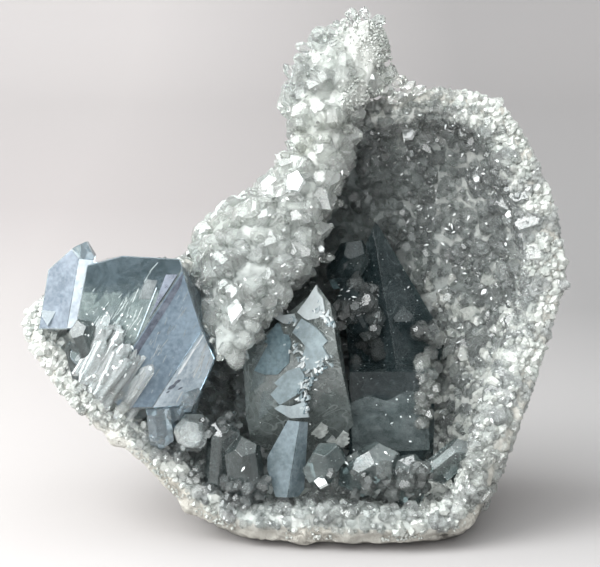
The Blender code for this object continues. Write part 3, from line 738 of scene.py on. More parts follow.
def rind():
    """Closed shell: back pole, outer surface, broken rim, inner surface and the hollow's end, pushed out
    along its normals by grains of three sizes that fade towards the flat base."""
    u = np.arange(SHELL_COLUMNS) / SHELL_COLUMNS
    outer, edge, inner = SHELL_ROWS
    rows = [outside(u, np.full(len(u), t)) for t in np.linspace(0.985, 0.0, outer)]
    rows += [edge_band(u, np.full(len(u), t)) for t in np.linspace(0.0, 1.0, edge + 2)[1:-1]]
    rows += [inside(u, np.full(len(u), t)) for t in np.linspace(0.0, 0.97, inner)]
    grid = np.stack(rows)
    flat = pushed_out(grid, lambda at: grain_sum(at, RIND_GRAINS, 0) * fall(at[:, 2], 0.0, 1.5))
    points = np.vstack([flat, BACK_POLE, HOLLOW_END])
    loops, sizes = tube_faces(len(rows), len(u))
    tone = OUTER_TONE * (0.3 + 0.7 * fall(grid[:, :, 2], 4.0, 34.0))
    tone[outer:outer + edge] += np.interp(np.arange(edge), (0.2 * edge, 0.45 * edge), (0.0, 0.3))[:, None]
    # Painted light and shade on the hollow's rock: dark deep inside and behind the fin
    tone[outer + edge:] = HOLLOW_SHADE * hollow_painted_light(grid[outer + edge:].reshape(-1, 3)).reshape(inner, -1)
    warmth = np.zeros(tone.shape)
    warmth[:outer + edge // 2] = 1.0
    return make_mesh("rind", points, loops, sizes, smooth=True, tone=np.append(tone.ravel(), (1.0, 0.1)),
                     warmth=np.append(warmth.ravel(), (1.0, 0.0)))


def fin_core():
    """Rock inside the fin: the fin's surface a little further in, with the same grains."""
    u = np.arange(FIN_COLUMNS) / FIN_COLUMNS
    rows = [fin_point(u, np.full(len(u), v)) for v in np.linspace(0.0, 1.0, FIN_ROWS)]
    flat = pushed_out(np.stack(rows), lambda at: grain_sum(at, FIN_GRAINS, 3) - FIN_SINK)
    points = np.vstack([flat, rows[0].mean(axis=0), rows[-1].mean(axis=0)])
    loops, sizes = tube_faces(len(rows), len(u))
    tone = 0.26 + 0.34 * fall(points[:, 2], 70.0, 100.0)
    return make_mesh("fin_core", points, loops, sizes, smooth=True, tone=tone)


rind_shell = finish_with(rind(), RIND)
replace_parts(rind_shell, "geode_wall")
fin_rock = finish_with(fin_core(), RIND)
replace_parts(fin_rock, "geode_wall")


# Small crystals

# How far apart they stand, and the shortest and the longest
FIN_LARGE = (6.2, 9.5, 16.0)
FIN_SMALL = (3.0, 3.0, 5.5)
HOLLOW_LARGE = (4.6, 8.0, 13.0)
HOLLOW_SMALL = (2.9, 3.0, 5.4)
HOLLOW_EDGE = (2.4, 2.4, 4.6)
RIM_SMALL = (2.1, 2.8, 5.6)
FIN_GRIT = (0.7, 0.6, 1.4)
RIM_GRIT = (1.0, 0.6, 1.4)
# How far their middles are raised, as a share of the size
SUNK = -0.2
RIM_SUNK = -0.18
# Sizes over which they are sunk
FIN_SUNK_OVER = 5.0
HOLLOW_SUNK_OVER = 6.0
# A crystal whose milk is over this is white
WHITE_OVER = 0.5
# How far the fin's white grains lie outside its surface
GRIT_LIFT = 1.4

# Of the 24 stout forms the first 18 are used
STOUT = forms(24, (0.5, 0.8), (0.4, 0.66), rng, 0.16, (0.0, 16.0), (0.37, 0.52))[:18]
BLADES = forms(8, (0.13, 0.22), (0.09, 0.15), rng, 0.1, (4.0, 18.0))


def chip(width, thickness):
    """Chip one unit long: the form round three crossed lines of these lengths."""
    ends = np.diag((thickness / 2, width / 2, 0.5))
    return hull(np.vstack([ends, -ends]))


CHIPS = [chip(width, width * 0.6) for width in (0.22, 0.3, 0.45, 0.8)]
CRUMBS = [chip(width, width * 0.9) for width in (0.7, 0.8, 0.9)]


DRUSE = []


def grow_druse(name, places, axes, sizes, rise, tone, milk, finish):
    """Two meshes of small crystals: the milky ones are white rind and the others clear."""
    milky = milk > WHITE_OVER
    for kind, chosen, look, slot in (("clear", ~milky, finish, "druse"), ("white", milky, SUGAR, "rind")):
        made = grow(f"{name}_{kind}", places[chosen], axes[chosen], sizes[chosen], STOUT, rng, rise[chosen],
                    tone=tone[chosen], milk=milk[chosen])
        finish_with(made, look)
        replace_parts(made, "geode_wall" if name != "hollow" else "cavity_crust")
        DRUSE.append(made)


def chance(places):
    """A random number from 0 to 1 for each place."""
    return rng.uniform(0.0, 1.0, len(places))


def lengths(spacing, count):
    """Random lengths from a spacing's shortest to its longest."""
    return rng.uniform(spacing[1], spacing[2], count)


def gather(*rows):
    """Places and normals of several scatters, one after another, and how many each gave."""
    found = [scatter(*row) for row in rows]
    places, normals = (np.vstack(part) for part in zip(*found))
    return places, normals, [len(place) for place, _ in found]


def surface_points(thing, count, rng):
    """Random points on a mesh, even by area, and the normals there: corner a, plus shares of the way to
    corners b and c that add up to less than one."""
    mesh = thing.evaluated_get(bpy.context.evaluated_depsgraph_get()).to_mesh()
    mesh.calc_loop_triangles()
    corner = np.empty(len(mesh.loop_triangles) * 3, np.int32)
    mesh.loop_triangles.foreach_get("vertices", corner)
    place = np.empty(len(mesh.vertices) * 3, np.float32)
    mesh.vertices.foreach_get("co", place)
    a, b, c = place.reshape(-1, 3)[corner.reshape(-1, 3)].astype(float).transpose(1, 0, 2) / MM - TO_ORIGIN
    normal = np.cross(b - a, c - a)
    area = np.linalg.norm(normal, axis=1)
    chosen = rng.choice(len(area), count, p=area / area.sum())
    share = rng.uniform(0.0, 1.0, (count, 2))
    share = np.where(share.sum(axis=1, keepdims=True) > 1.0, 1.0 - share, share)
    a, b, c = a[chosen], b[chosen], c[chosen]
    return a + (b - a) * share[:, :1] + (c - a) * share[:, 1:], unit(normal[chosen])


def laid_flat(normals):
    """Random directions along faces with these normals, and the turns that lay chips along them."""
    flat = unit(np.cross(normals, rng.normal(0.0, 1.0, normals.shape)))
    return flat, np.stack([normals, np.cross(flat, normals), flat], axis=2)


def scatter_painted_glints(name, places, normals, shortest, longest, node):
    """Painted glints: tiny white chips and dashes that lie on the faces of small crystals."""
    sizes = rng.uniform(shortest, longest, len(places))
    flat, turn = laid_flat(normals)
    made = grow(name, places, flat, sizes, CHIPS, rng, 0.0, turn=turn)
    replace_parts(finish_with(made, SUGAR), node)


def fin_crystals():
    """Chunky clear crystals all over the fin, with smaller ones between them, cloudier towards the right."""
    large, large_normal = scatter(fin_point, ((0.0, 0.02), (1.0, 0.99)), 20000, FIN_LARGE[0], rng)
    small, small_normal = scatter(fin_point, ((0.0, 0.0), (1.0, 1.0)), 40000, FIN_SMALL[0], rng)
    kept = sugar(large) < WHITE_OVER
    few = chance(small) < 0.3 + 0.7 * (sugar(small) > WHITE_OVER)
    places = np.vstack([large[kept], small[few]])
    normals = np.vstack([large_normal[kept], small_normal[few]])
    sizes = np.concatenate([lengths(FIN_LARGE, kept.sum()), lengths(FIN_SMALL, few.sum())])
    white = sugar(places)
    sizes *= (1.0 - 0.62 * (white > WHITE_OVER)) * (0.7 + 0.3 * fall(places[:, 2], 58.0, 76.0))
    rise = np.where(sizes > FIN_SUNK_OVER, SUNK, 0.0)
    tone = rng.uniform(0.3, 0.65, len(places)) + 0.4 * fall(places[:, 2], 66.0, 90.0)
    cloud = 0.2 * fall(normals[:, 0], -0.7, 0.0) * (chance(places) > 0.15)
    grow_druse("fin", places, lean(normals, 0.3, rng), sizes, rise, tone, np.maximum(white, cloud), MILKY)


def hollow_crystals():
    """The hollow's lining of small crystals, which runs on over the inner part of the rim, in painted light
    and
    shade: lighter near the rim and dark deep inside."""
    places, normals, counts = gather(
        (inside, ((0.0, 0.02), (1.0, 0.96)), 16000, HOLLOW_LARGE[0], rng, True),
        (inside, ((0.0, 0.0), (1.0, 0.97)), 50000, HOLLOW_SMALL[0], rng, True),
        (edge_band, ((0.0, 0.4), (1.0, 1.0)), 12000, HOLLOW_EDGE[0], rng, True),
    )
    spacings = (HOLLOW_LARGE, HOLLOW_SMALL, HOLLOW_EDGE)
    sizes = np.concatenate([lengths(spacing, count) for spacing, count in zip(spacings, counts)])
    # Painted light and shade: each crystal's tone follows the hollow's painted light
    tone = np.clip(hollow_painted_light(places) * rng.uniform(0.8, 1.12, len(places)), 0.02, 1.0)
    milk = np.where(chance(places) < 0.8, 0.12, 0.0)
    milk = np.maximum(milk, 0.9 * sugar(places) * fall(-places[:, 1], -8.0, 4.0))
    # Partly a pale crust and partly painted light: white crystals low on the right wall, where little light
    # reaches
    pale = 0.4 * fall(places[:, 0], 28.0, 36.0) * fall(-places[:, 2], -66.0, -50.0)
    milk = np.where(chance(places) < pale, 0.7, milk)
    rise = np.where(sizes > HOLLOW_SUNK_OVER, SUNK, 0.0)
    grow_druse("hollow", places, lean(normals, 0.25, rng), sizes, rise, tone, milk, DIM)


# The part of the way round the rim where crystals reach its outer edge; elsewhere the rock shows
RIGHT_AND_TOP = (0.45, 1.15)


def rim_crystals():
    """Small clear crystals on the broken rim, and at the right and the top just outside it."""
    start, end = RIGHT_AND_TOP
    places, normals, _ = gather(
        (edge_band, ((0.0, 0.5), (1.0, 1.0)), 40000, RIM_SMALL[0], rng, True),
        (edge_band, ((start, 0.0), (end, 0.5)), 24000, RIM_SMALL[0], rng, True),
        (outside, ((start, 0.0), (end, 0.08)), 16000, RIM_SMALL[0], rng),
    )
    low = fall(-places[:, 2], -36.0, -16.0)
    kept = chance(places) > 0.62 * low
    places, normals, low = places[kept], normals[kept], low[kept]
    sizes = lengths(RIM_SMALL, len(places)) * (1.0 + 0.5 * low)
    white = sugar(places)
    tone = rng.uniform(0.1, 0.4, len(places)) + 0.5 * fall(places[:, 2], 6.0, 26.0)
    milk = np.clip(np.maximum(white * rng.uniform(0.6, 1.4, len(places)), 0.15), 0.0, 1.0)
    rise = np.full(len(places), RIM_SUNK)
    grow_druse("rim", places, lean(normals, 0.4, rng), sizes, rise, tone, milk, RIM_DRUSE)


def white_grains():
    """White sugary grains on the broken rim and on the fin's white patches."""
    fin, fin_normal = scatter(fin_point, ((0.0, 0.5), (1.0, 1.0)), 60000, FIN_GRIT[0], rng)
    rim, rim_normal = scatter(edge_band, ((0.0, 0.12), (1.0, 1.0)), 90000, RIM_GRIT[0], rng, True)
    for name, place, normal, least, spacing in (
        ("rim_grains", rim, rim_normal, 0.3, RIM_GRIT),
        ("fin_grains", fin + fin_normal * GRIT_LIFT, fin_normal, 0.4, FIN_GRIT),
    ):
        kept = rng.uniform(least, 1.0, len(place)) < sugar(place)
        place, normal = place[kept], normal[kept]
        sizes = lengths(spacing, len(place))
        made = grow(name, place, lean(normal, 0.8, rng), sizes, CRUMBS, rng, 0.1)
        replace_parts(finish_with(made, SUGAR), "geode_wall")


fin_crystals()
hollow_crystals()
rim_crystals()
white_grains()

# Clear crystals that stand out from the fin: right, up, size
FIN_TIPS = (
    (1.3, 65.2, 6.0), (-3.0, 58.9, 5.5), (-2.5, 54.5, 4.5), (-4.6, 48.7, 5.5), (-1.9, 44.5, 4.2),
    (-2.5, 38.6, 4.2), (-7.8, 26.9, 5.5), (-16.9, 19.5, 5.5), (-22.7, 15.7, 5.5), (-25.5, 11.5, 5.0),
    (-29.6, 7.6, 5.5), (7.2, 15.7, 5.0), (10.2, 22.0, 5.0), (7.4, 7.1, 6.0), (24.5, 58.0, 7.5),
    (27.3, 56.0, 7.0), (9.0, 70.0, 5.0), (30.0, 54.5, 6.0), (24.0, 53.5, 7.5), (27.0, 51.5, 7.0),
    (21.5, 61.5, 6.0), (33.0, 53.5, 5.0), (-19.9, -18.4, 5.5), (-1.5, 31.5, 4.0), (-12.0, 22.5, 4.5),
    (-30.5, 2.0, 4.5), (5.5, 67.5, 5.0), (14.5, 74.2, 6.0), (18.0, 74.8, 5.5), (21.5, 72.5, 5.5),
    (11.0, 71.5, 5.0), (-14.5, 23.5, 5.0),
)
FIN_MIDDLE = np.array((0.0, -4.0, 90.0))


def fin_tips():
    """Single clear crystals on the fin's silhouette, which point away from its middle line and forwards."""
    rows = np.array(FIN_TIPS)
    right, up, toward = view_frame()
    places = seen_on_plane(rows[:, 0], rows[:, 1], FIN_MIDDLE, toward)
    height = np.clip(np.searchsorted(FIN[:, 0], places[:, 2]), 0, len(FIN) - 1)
    side = np.sign(places[:, 0] - FIN[height, 1])
    axes = lean(side[:, None] * right * 0.8 + up * 0.4 + toward * 0.5, 0.25, rng)
    made = grow("fin_tips", places, axes, rows[:, 2], STOUT, rng, 0.0, tone=rng.uniform(0.3, 1.0, len(rows)),
                milk=np.zeros(len(rows)))
    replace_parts(finish_with(made, TIPS), "geode_wall")
    DRUSE.append(made)


fin_tips()


def druse_painted_glints():
    """Painted glints: white chips on the fin's crystals and on the lighter crystals of the hollow."""
    fin_clear, hollow_clear = (thing for thing in DRUSE if thing.name in ("fin_clear", "hollow_clear"))
    places, normals = surface_points(fin_clear, 1400, rng)
    scatter_painted_glints("fin_painted_glints", places, normals, 0.5, 1.5, "geode_wall")
    places, normals = surface_points(hollow_clear, 9000, rng)
    kept = chance(places) < 0.15 + 0.85 * fall(places[:, 0], 14.0, 30.0)
    scatter_painted_glints("hollow_painted_glints", places[kept], normals[kept], 0.4, 1.3, "cavity_crust")


druse_painted_glints()


# Large crystals

EDGE_SOFTNESS = 0.18
EDGE_ANGLE = 12.0
# Finish, the record's slot, how many tiny flecks, painted glints, lie on it, and how light they are
CRYSTALS = {
    "large_left_crystal": (BLUE, "blue_crystal", 160, 0.35),
    "upper_left_crystal": (BLUE, "blue_crystal", 60, 0.5),
    "small_left_crystals": (TEAL, "blue_crystal", 50, 0.3),
    "lower_left_crystals": (BLUE, "blue_crystal", 60, 0.3),
    "central_crystals": (CLOUDY, "blue_crystal", 220, 0.12),
    "back_crystals": (SMOKY, "smoky_crystal", 420, 0.12),
    "front_left_crystals": (TEAL, "smoky_crystal", 160, 0.1),
    "front_right_crystals": (MURKY, "smoky_crystal", 260, 0.25),
    "right_crystals": (GLASSY, "smoky_crystal", 200, 0.4),
}


def dress(thing, finish):
    """Keeps a CAD crystal, joins its triangles and breaks its edges."""
    weld = thing.modifiers.new("weld", "WELD")
    weld.merge_threshold = 1e-6
    edge = thing.modifiers.new("edge", "BEVEL")
    edge.width = EDGE_SOFTNESS * MM
    edge.segments = 1
    edge.limit_method = "ANGLE"
    edge.angle_limit = math.radians(EDGE_ANGLE)
    finish_with(thing, finish)


for node, (finish, slot, _, _) in CRYSTALS.items():
    dress(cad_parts[node], finish)


# Plates and veils on the large crystals


def face_outline(crystal, index):
    """Corners, in order, of one face of a crystal, and its normal."""
    centre, faces = crystal
    normals = np.array([direction(turn, toward) for turn, toward, _ in faces])
    distances = np.array([float(distance) for _, _, distance in faces])
    points = corners(normals, distances)
    normal = normals[index]
    points = points[np.abs(points @ normal - distances[index]) < 1e-3]
    middle = points.mean(axis=0)
    side = unit(points[0] - middle)
    other = np.cross(normal, side)
    order = np.argsort(np.arctan2((points - middle) @ other, (points - middle) @ side))
    return points[order] + np.array(centre), normal


def shrunk(outline, amount):
    """Outline with each corner moved towards the middle by amount millimetres."""
    middle = outline.mean(axis=0)
    return outline - unit(outline - middle) * amount


def clipped(outline, crystal, index, inset):
    """Outline cut back to lie inset behind every other face of the crystal: corners outside are dropped, and
    each side that crosses a face gets a corner where it crosses."""
    centre, faces = crystal
    for number, (turn, toward, distance) in enumerate(faces):
        depth = (outline - centre) @ direction(turn, toward) - distance + inset
        if number == index or not np.any(depth > 0.0):
            continue
        after = np.roll(depth, -1)
        share = depth / np.where(depth == after, 1.0, depth - after)
        cut = outline + (np.roll(outline, -1, axis=0) - outline) * share[:, None]
        kept = np.stack([depth <= 0.0, depth * after < 0.0], axis=1).ravel()
        outline = np.stack([outline, cut], axis=1).reshape(-1, 3)[kept]
        if len(outline) < 3:
            return outline[:0]
    return outline


def plates(name, outlines, finish, tones=None):
    """One mesh of thin flat prisms. Each outline is (corners in order, outward normal, lift, thickness): its
    front lies lift outside the corners and its back one thickness behind that. Tones are one for each."""
    points, loops, sizes, shades = [], [], [], []
    start = 0
    tones = np.zeros(len(outlines)) if tones is None else tones
    for (outline, normal, lift, thickness), tone in zip(outlines, tones):
        count = len(outline)
        if count < 3:
            continue
        if np.cross(outline[1] - outline[0], outline[2] - outline[1]) @ normal < 0.0:
            outline = outline[::-1]
        shades.append(np.full(2 * count, tone))
        points += [outline + normal * lift, outline + normal * (lift - thickness)]
        across = np.arange(count)
        after = (across + 1) % count
        loops += [start + across, start + count + across[::-1]]
        loops.append(start + np.stack([across, across + count, after + count, after], axis=1).ravel())
        sizes += [count, count] + [4] * count
        start += 2 * count
    shades = np.concatenate(shades)
    made = make_mesh(name, np.vstack(points), np.concatenate(loops), np.array(sizes), tone=shades)
    return finish_with(made, finish)


def ragged(right_mm, up_mm, width, height, turn, teeth, depth, rng):
    """Growth plate seen from the front: its left side widens downwards as 1.3s to a corner and comes back in,
    and is cut into saw teeth that point down and outwards. Its right side runs nearly straight and ragged."""
    s = np.linspace(0.0, 1.0, teeth * 2 + 1)
    belly = np.minimum(1.3 * s, np.minimum(1.0, 2.6 * (1.0 - s) + 0.1))
    saw = np.where(np.arange(len(s)) % 2 == 0, 1.0 - depth * rng.uniform(0.5, 1.0, len(s)), 1.0)
    left = -width * 0.62 * belly * saw
    drop = np.where(np.arange(len(s)) % 2 == 0, 0.0, height * 0.5 / teeth)
    back = s[::-1]
    right = width * 0.38 * np.minimum(1.0, 3.0 * np.minimum(back, 1.0 - back) + 0.15)
    right = right * rng.uniform(0.6, 1.0, len(s))
    x = np.concatenate([left, right])
    y = height * (0.5 - np.concatenate([s, back])) - np.concatenate([drop, np.zeros(len(s))])
    a = math.radians(turn)
    return right_mm + x * math.cos(a) - y * math.sin(a), up_mm + x * math.sin(a) + y * math.cos(a)


def on_face(crystal, index, rights, ups):
    """Points of a crystal's face that are seen at these places from the front, and the face's normal."""
    centre, faces = crystal
    turn, toward, distance = faces[index]
    normal = direction(turn, toward)
    return seen_on_plane(rights, ups, np.array(centre) + normal * distance, normal), normal


def skin(name, colour, pale, alpha, roughness, scale):
    """Cloudy polished face: two colours in soft patches, whiter where the piece's tone is high, see-through
    by alpha."""
    finish, tree, shader = nodes_of(name)
    clouded = blend(tree, mottled(tree, scale, 800.0, 2.4), colour, pale)
    feed(tree, shader, {
        "Base Color": blend(tree, attribute(tree, "tone"), clouded, WHITE),
        "Alpha": patchy(tree, scale * 1.7, (0.3, alpha[0]), (0.65, alpha[1])),
        "Roughness": patchy(tree, 420.0, (0.35, roughness * 0.5), (0.7, roughness * 1.6)),
        "IOR": GROWN_IOR,
    })
    bump(tree, noise(tree, 600.0, 2.0), 0.1, 0.0003, shader)
    return finish


PALE_FACE = skin("pale_blue_face", (0.125, 0.17, 0.215), (0.21, 0.27, 0.325), (0.75, 0.95), 0.2, 60.0)
LAVENDER = skin("lavender_face", (0.095, 0.12, 0.15), (0.19, 0.22, 0.26), (0.7, 0.95), 0.35, 90.0)
# Painted highlights and painted reflection: near-white skin for the glints and the upper crystal's right face
PAINTED_HIGHLIGHT_SKIN = skin("painted_highlight_skin", (0.50, 0.57, 0.64), (0.74, 0.79, 0.84), (0.85, 1.0), 0.25, 90.0)
BEVEL_FACE = skin("light_bevel", (0.28, 0.335, 0.38), (0.48, 0.54, 0.59), (0.8, 0.98), 0.25, 70.0)
PATCH = skin("grey_patch", (0.12, 0.135, 0.14), (0.2, 0.22, 0.225), (0.25, 0.6), 0.5, 220.0)
TERRACE = skin("light_blue_terrace", (0.066, 0.104, 0.12), (0.15, 0.21, 0.235), (0.85, 1.0), 0.3, 140.0)
DUSK_FACE = skin("dusky_blue_face", (0.075, 0.10, 0.11), (0.14, 0.175, 0.195), (0.8, 0.98), 0.3, 110.0)
# Painted reflection: dark skin along the top of the left crystal's left face
BAND = skin("painted_dark_reflection", (0.022, 0.038, 0.045), (0.06, 0.085, 0.10), (0.25, 0.5), 0.12, 110.0)
STRIPE = skin("lavender_stripe", (0.085, 0.095, 0.125), (0.16, 0.18, 0.22), (0.6, 0.85), 0.3, 160.0)
VEIL = skin("streaked_veil", (0.10, 0.12, 0.12), (0.24, 0.28, 0.28), (0.4, 0.8), 0.3, 400.0)
STROKE = skin("pale_stroke", (0.26, 0.30, 0.30), (0.46, 0.51, 0.51), (0.25, 0.7), 0.35, 400.0)
SIDE_FACE = skin("greenish_side_face", (0.07, 0.096, 0.095), (0.16, 0.195, 0.19), (0.35, 0.8), 0.3, 120.0)
HAZE = skin("haze", (0.12, 0.152, 0.155), (0.225, 0.262, 0.266), (0.1, 0.55), 0.4, 160.0)
FROST = skin("frosted_patch", (0.33, 0.35, 0.34), (0.66, 0.69, 0.67), (0.7, 1.0), 0.5, 420.0)

# Thin skins over whole faces: name, crystal, face, finish and lift
SKIN_EDGE = 0.4
SKIN_THICKNESS = 0.12
FACE_SKINS = (
    ("left_crystal_front_skin", LEFT, LEFT_FRONT, PALE_FACE, 0.06),
    ("left_crystal_side_skin", LEFT, LEFT_SIDE, SIDE_FACE, 0.02),
    ("left_crystal_bevel_skin", LEFT, LEFT_BEVEL, BEVEL_FACE, 0.06),
    ("upper_crystal_left_skin", UPPER, UPPER_LEFT, LAVENDER, 0.06),
    # Painted reflection: the upper crystal's right face is painted bright as if it mirrored light from the
    # right
    ("upper_crystal_right_painted_reflection", UPPER, UPPER_RIGHT, PAINTED_HIGHLIGHT_SKIN, 0.06),
    ("front_crystal_skin", FRONT, FRONT_TOP, DUSK_FACE, 0.06),
    ("front_crystal_side_skin", FRONT, FRONT_SIDE, DUSK_FACE, 0.06),
)
for name, crystal, index, finish, lift in FACE_SKINS:
    outline, normal = face_outline(crystal, index)
    plates(name, [(shrunk(outline, SKIN_EDGE), normal, lift, SKIN_THICKNESS)], finish)

# Growth plates on the central crystal's left face: tone, then corners as right and up
TERRACES = (
    (0.35, (4.6, -0.4), (2.3, -4.1), (-0.6, -7.9), (1.2, -9.5), (2.3, -10.1), (5.3, -9.5), (7.0, -7.6),
     (6.4, -4.0), (5.0, -2.3)),
    (0.12, (0.6, -9.7), (-1.9, -13.5), (0.4, -15.7), (1.8, -17.5), (0.9, -19.7), (1.9, -22.7), (0.8, -24.0),
     (4.4, -23.7), (7.8, -19.9), (6.4, -17.3), (7.8, -16.0), (5.7, -13.3), (4.7, -12.3), (3.2, -11.2)),
    (0.3, (-6.5, -7.8), (-4.4, -8.7), (-1.5, -8.3), (-1.1, -9.7), (-2.8, -11.2), (-4.4, -11.0), (-7.2, -9.3)),
    (0.0, (-6.1, -10.8), (-9.1, -14.6), (-8.7, -15.2), (-9.8, -16.0), (-8.7, -16.8), (-12.5, -24.1),
     (-9.5, -25.2), (-6.1, -25.2), (-4.4, -23.5), (-2.9, -22.0), (-2.7, -18.8), (-2.3, -16.7), (-3.0, -14.2),
     (-4.4, -14.0), (-4.9, -12.9), (-5.3, -11.4)),
    (0.1, (0.0, -23.1), (-3.2, -24.1), (-7.0, -27.5), (-5.9, -28.4), (-8.0, -30.7), (-5.5, -33.5),
     (-3.9, -32.8), (-1.0, -31.0), (1.0, -28.5), (1.5, -25.5)),
    (0.2, (-7.0, -34.6), (-5.3, -33.6), (-2.5, -34.0), (0.5, -33.0), (0.6, -31.0), (1.5, -33.0), (2.5, -37.0),
     (-2.3, -37.3), (-3.2, -36.9)),
)
# Lines of bright crumbs on that face: from and to, right and up, how far they stray, and how many
CRUMB_LINES = (
    ((-1.9, -16.2), (1.4, -22.6), 0.8, 26), ((5.3, -6.0), (8.3, -11.5), 0.7, 30),
    ((7.8, -20.1), (0.6, -29.5), 0.9, 60), ((-2.0, -9.0), (-0.5, -13.0), 0.6, 10),
    ((0.6, -29.5), (1.5, -36.0), 0.8, 20),
)
# Hazes: corners of each as right and up
HAZES = (
    ((14.0, -33.0), (19.0, -31.0), (24.0, -32.5), (30.0, -29.5), (35.0, -31.0), (36.0, -46.0), (14.5, -47.0)),
    ((16.0, -39.0), (22.0, -37.0), (27.0, -38.5), (33.0, -36.0), (35.0, -46.0), (17.0, -47.0)),
    ((-12.0, -17.0), (-9.0, -17.5), (-9.5, -27.0), (-13.5, -30.0)),
    ((-10.5, -30.0), (-6.5, -29.0), (-8.0, -35.0), (-11.5, -38.0)),
)
# Frosted patches low on the central crystal's right face: right, up, width, height
FROST_PATCHES = ((5.8, -40.6, 5.6, 4.4), (11.9, -43.0, 5.2, 4.6), (8.8, -43.2, 3.0, 2.4))


def terraces():
    """Raised light blue plates with notched edges, and lines of crumbs along the cracks between them."""
    made, tones = [], []
    for tone, *corner in TERRACES:
        points, normal = on_face(CENTRAL, CENTRAL_LEFT, *np.array(corner).T)
        made.append((points, normal, rng.uniform(0.35, 0.6), 0.7))
        tones.append(tone)
    for start, end, stray, count in CRUMB_LINES:
        for _ in range(count):
            middle = np.array(start) + (np.array(end) - start) * rng.uniform() + rng.normal(0.0, stray, 2)
            size = rng.uniform(0.4, 1.5)
            shape = ragged(*middle, size, size * rng.uniform(0.7, 1.6), rng.uniform(-60, 60), 1, 0.4, rng)
            points, normal = on_face(CENTRAL, CENTRAL_LEFT, *shape)
            made.append((points, normal, rng.uniform(0.4, 0.9), 0.9))
            tones.append(rng.uniform(0.0, 0.6))
    plates("central_growth_plates", made, TERRACE, tones)
    frost = []
    for right_mm, up_mm, width, height in FROST_PATCHES:
        shape = ragged(right_mm, up_mm, width, height, 0, 9, 0.4, rng)
        points, normal = on_face(CENTRAL, CENTRAL_RIGHT, *shape)
        frost.append((points, normal, 0.2, 0.5))
    plates("central_frost", frost, FROST)


terraces()


def hazes():
    """Pale hazes on the dark crystals, each on the face that its middle is seen on."""
    tree = tree_of(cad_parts["back_crystals"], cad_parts["central_crystals"])
    made = []
    for corner in HAZES:
        rights, ups = np.array(corner).T
        places, normals, met = seen_on(tree, rights.mean(keepdims=True), ups.mean(keepdims=True))
        if met[0]:
            made.append((seen_on_plane(rights, ups, places[0], normals[0]), normals[0], 0.1, 0.02))
    plates("dark_crystal_hazes", made, HAZE)


hazes()


# The left crystal's left face, right and up: dark band along the top, which is painted reflection, dark
# stripe along the front edge and a paler patch between them. LENGTHWISE and FRONT_WAY are the crystal's own
# length as seen on its left and its front face, and the other two are the ways that the specks and the front
# edge run.
BAND_LAYERS = 4
BAND_TEETH = 25
DARK_STRIPE = (
    (-37.0, 2.4), (-30.0, 2.4), (-34.0, -6.8), (-43.0, -23.1), (-47.0, -32.0), (-51.6, -32.0), (-48.2, -23.1),
    (-40.4, -6.8),
)
FRONT_STRIPE = (
    (-32.0, 4.0), (-47.6, -17.6), (-56.0, -31.0), (-51.6, -31.0), (-43.8, -17.6), (-36.8, -6.8),
    (-33.0, -0.4),
)
DARK_SPECKS = ((-35.5, -28.6, 3.0), (-34.0, -27.2, 2.4), (-33.2, -29.0, 1.6), (-36.6, -30.0, 1.4))
PALE_PATCH = ((-42.6, 1.2), (-39.4, 0.8), (-41.4, -4.4), (-44.8, -4.2))
LENGTHWISE = np.array((-0.53, -0.85))
FRONT_WAY = np.array((-0.46, -0.88))
SPECK_WAY = np.array((-0.85, -0.52))
EDGE_WAY = np.array((-0.365, -0.931))


def sliver(right_mm, up_mm, length, width, way):
    """Slender six-sided outline, seen from the front, pointed at both ends."""
    ends = np.array((-0.5, -0.5, 0.5, 0.5, 0.5, -0.5)) * length
    along = ends + np.array((0.0, 1.0, -1.0, 0.0, -1.0, 1.0)) * width
    across = np.array((0.0, 0.5, 0.5, 0.0, -0.5, -0.5)) * width
    return right_mm + way[0] * along - way[1] * across, up_mm + way[1] * along + way[0] * across


def left_plate(index, outline, lift, thickness=0.1):
    """Plate on a face of the left crystal whose corners are seen at these places, clipped to the face."""
    points, normal = on_face(LEFT, index, *outline)
    return clipped(points, LEFT, index, 0.3), normal, lift, thickness


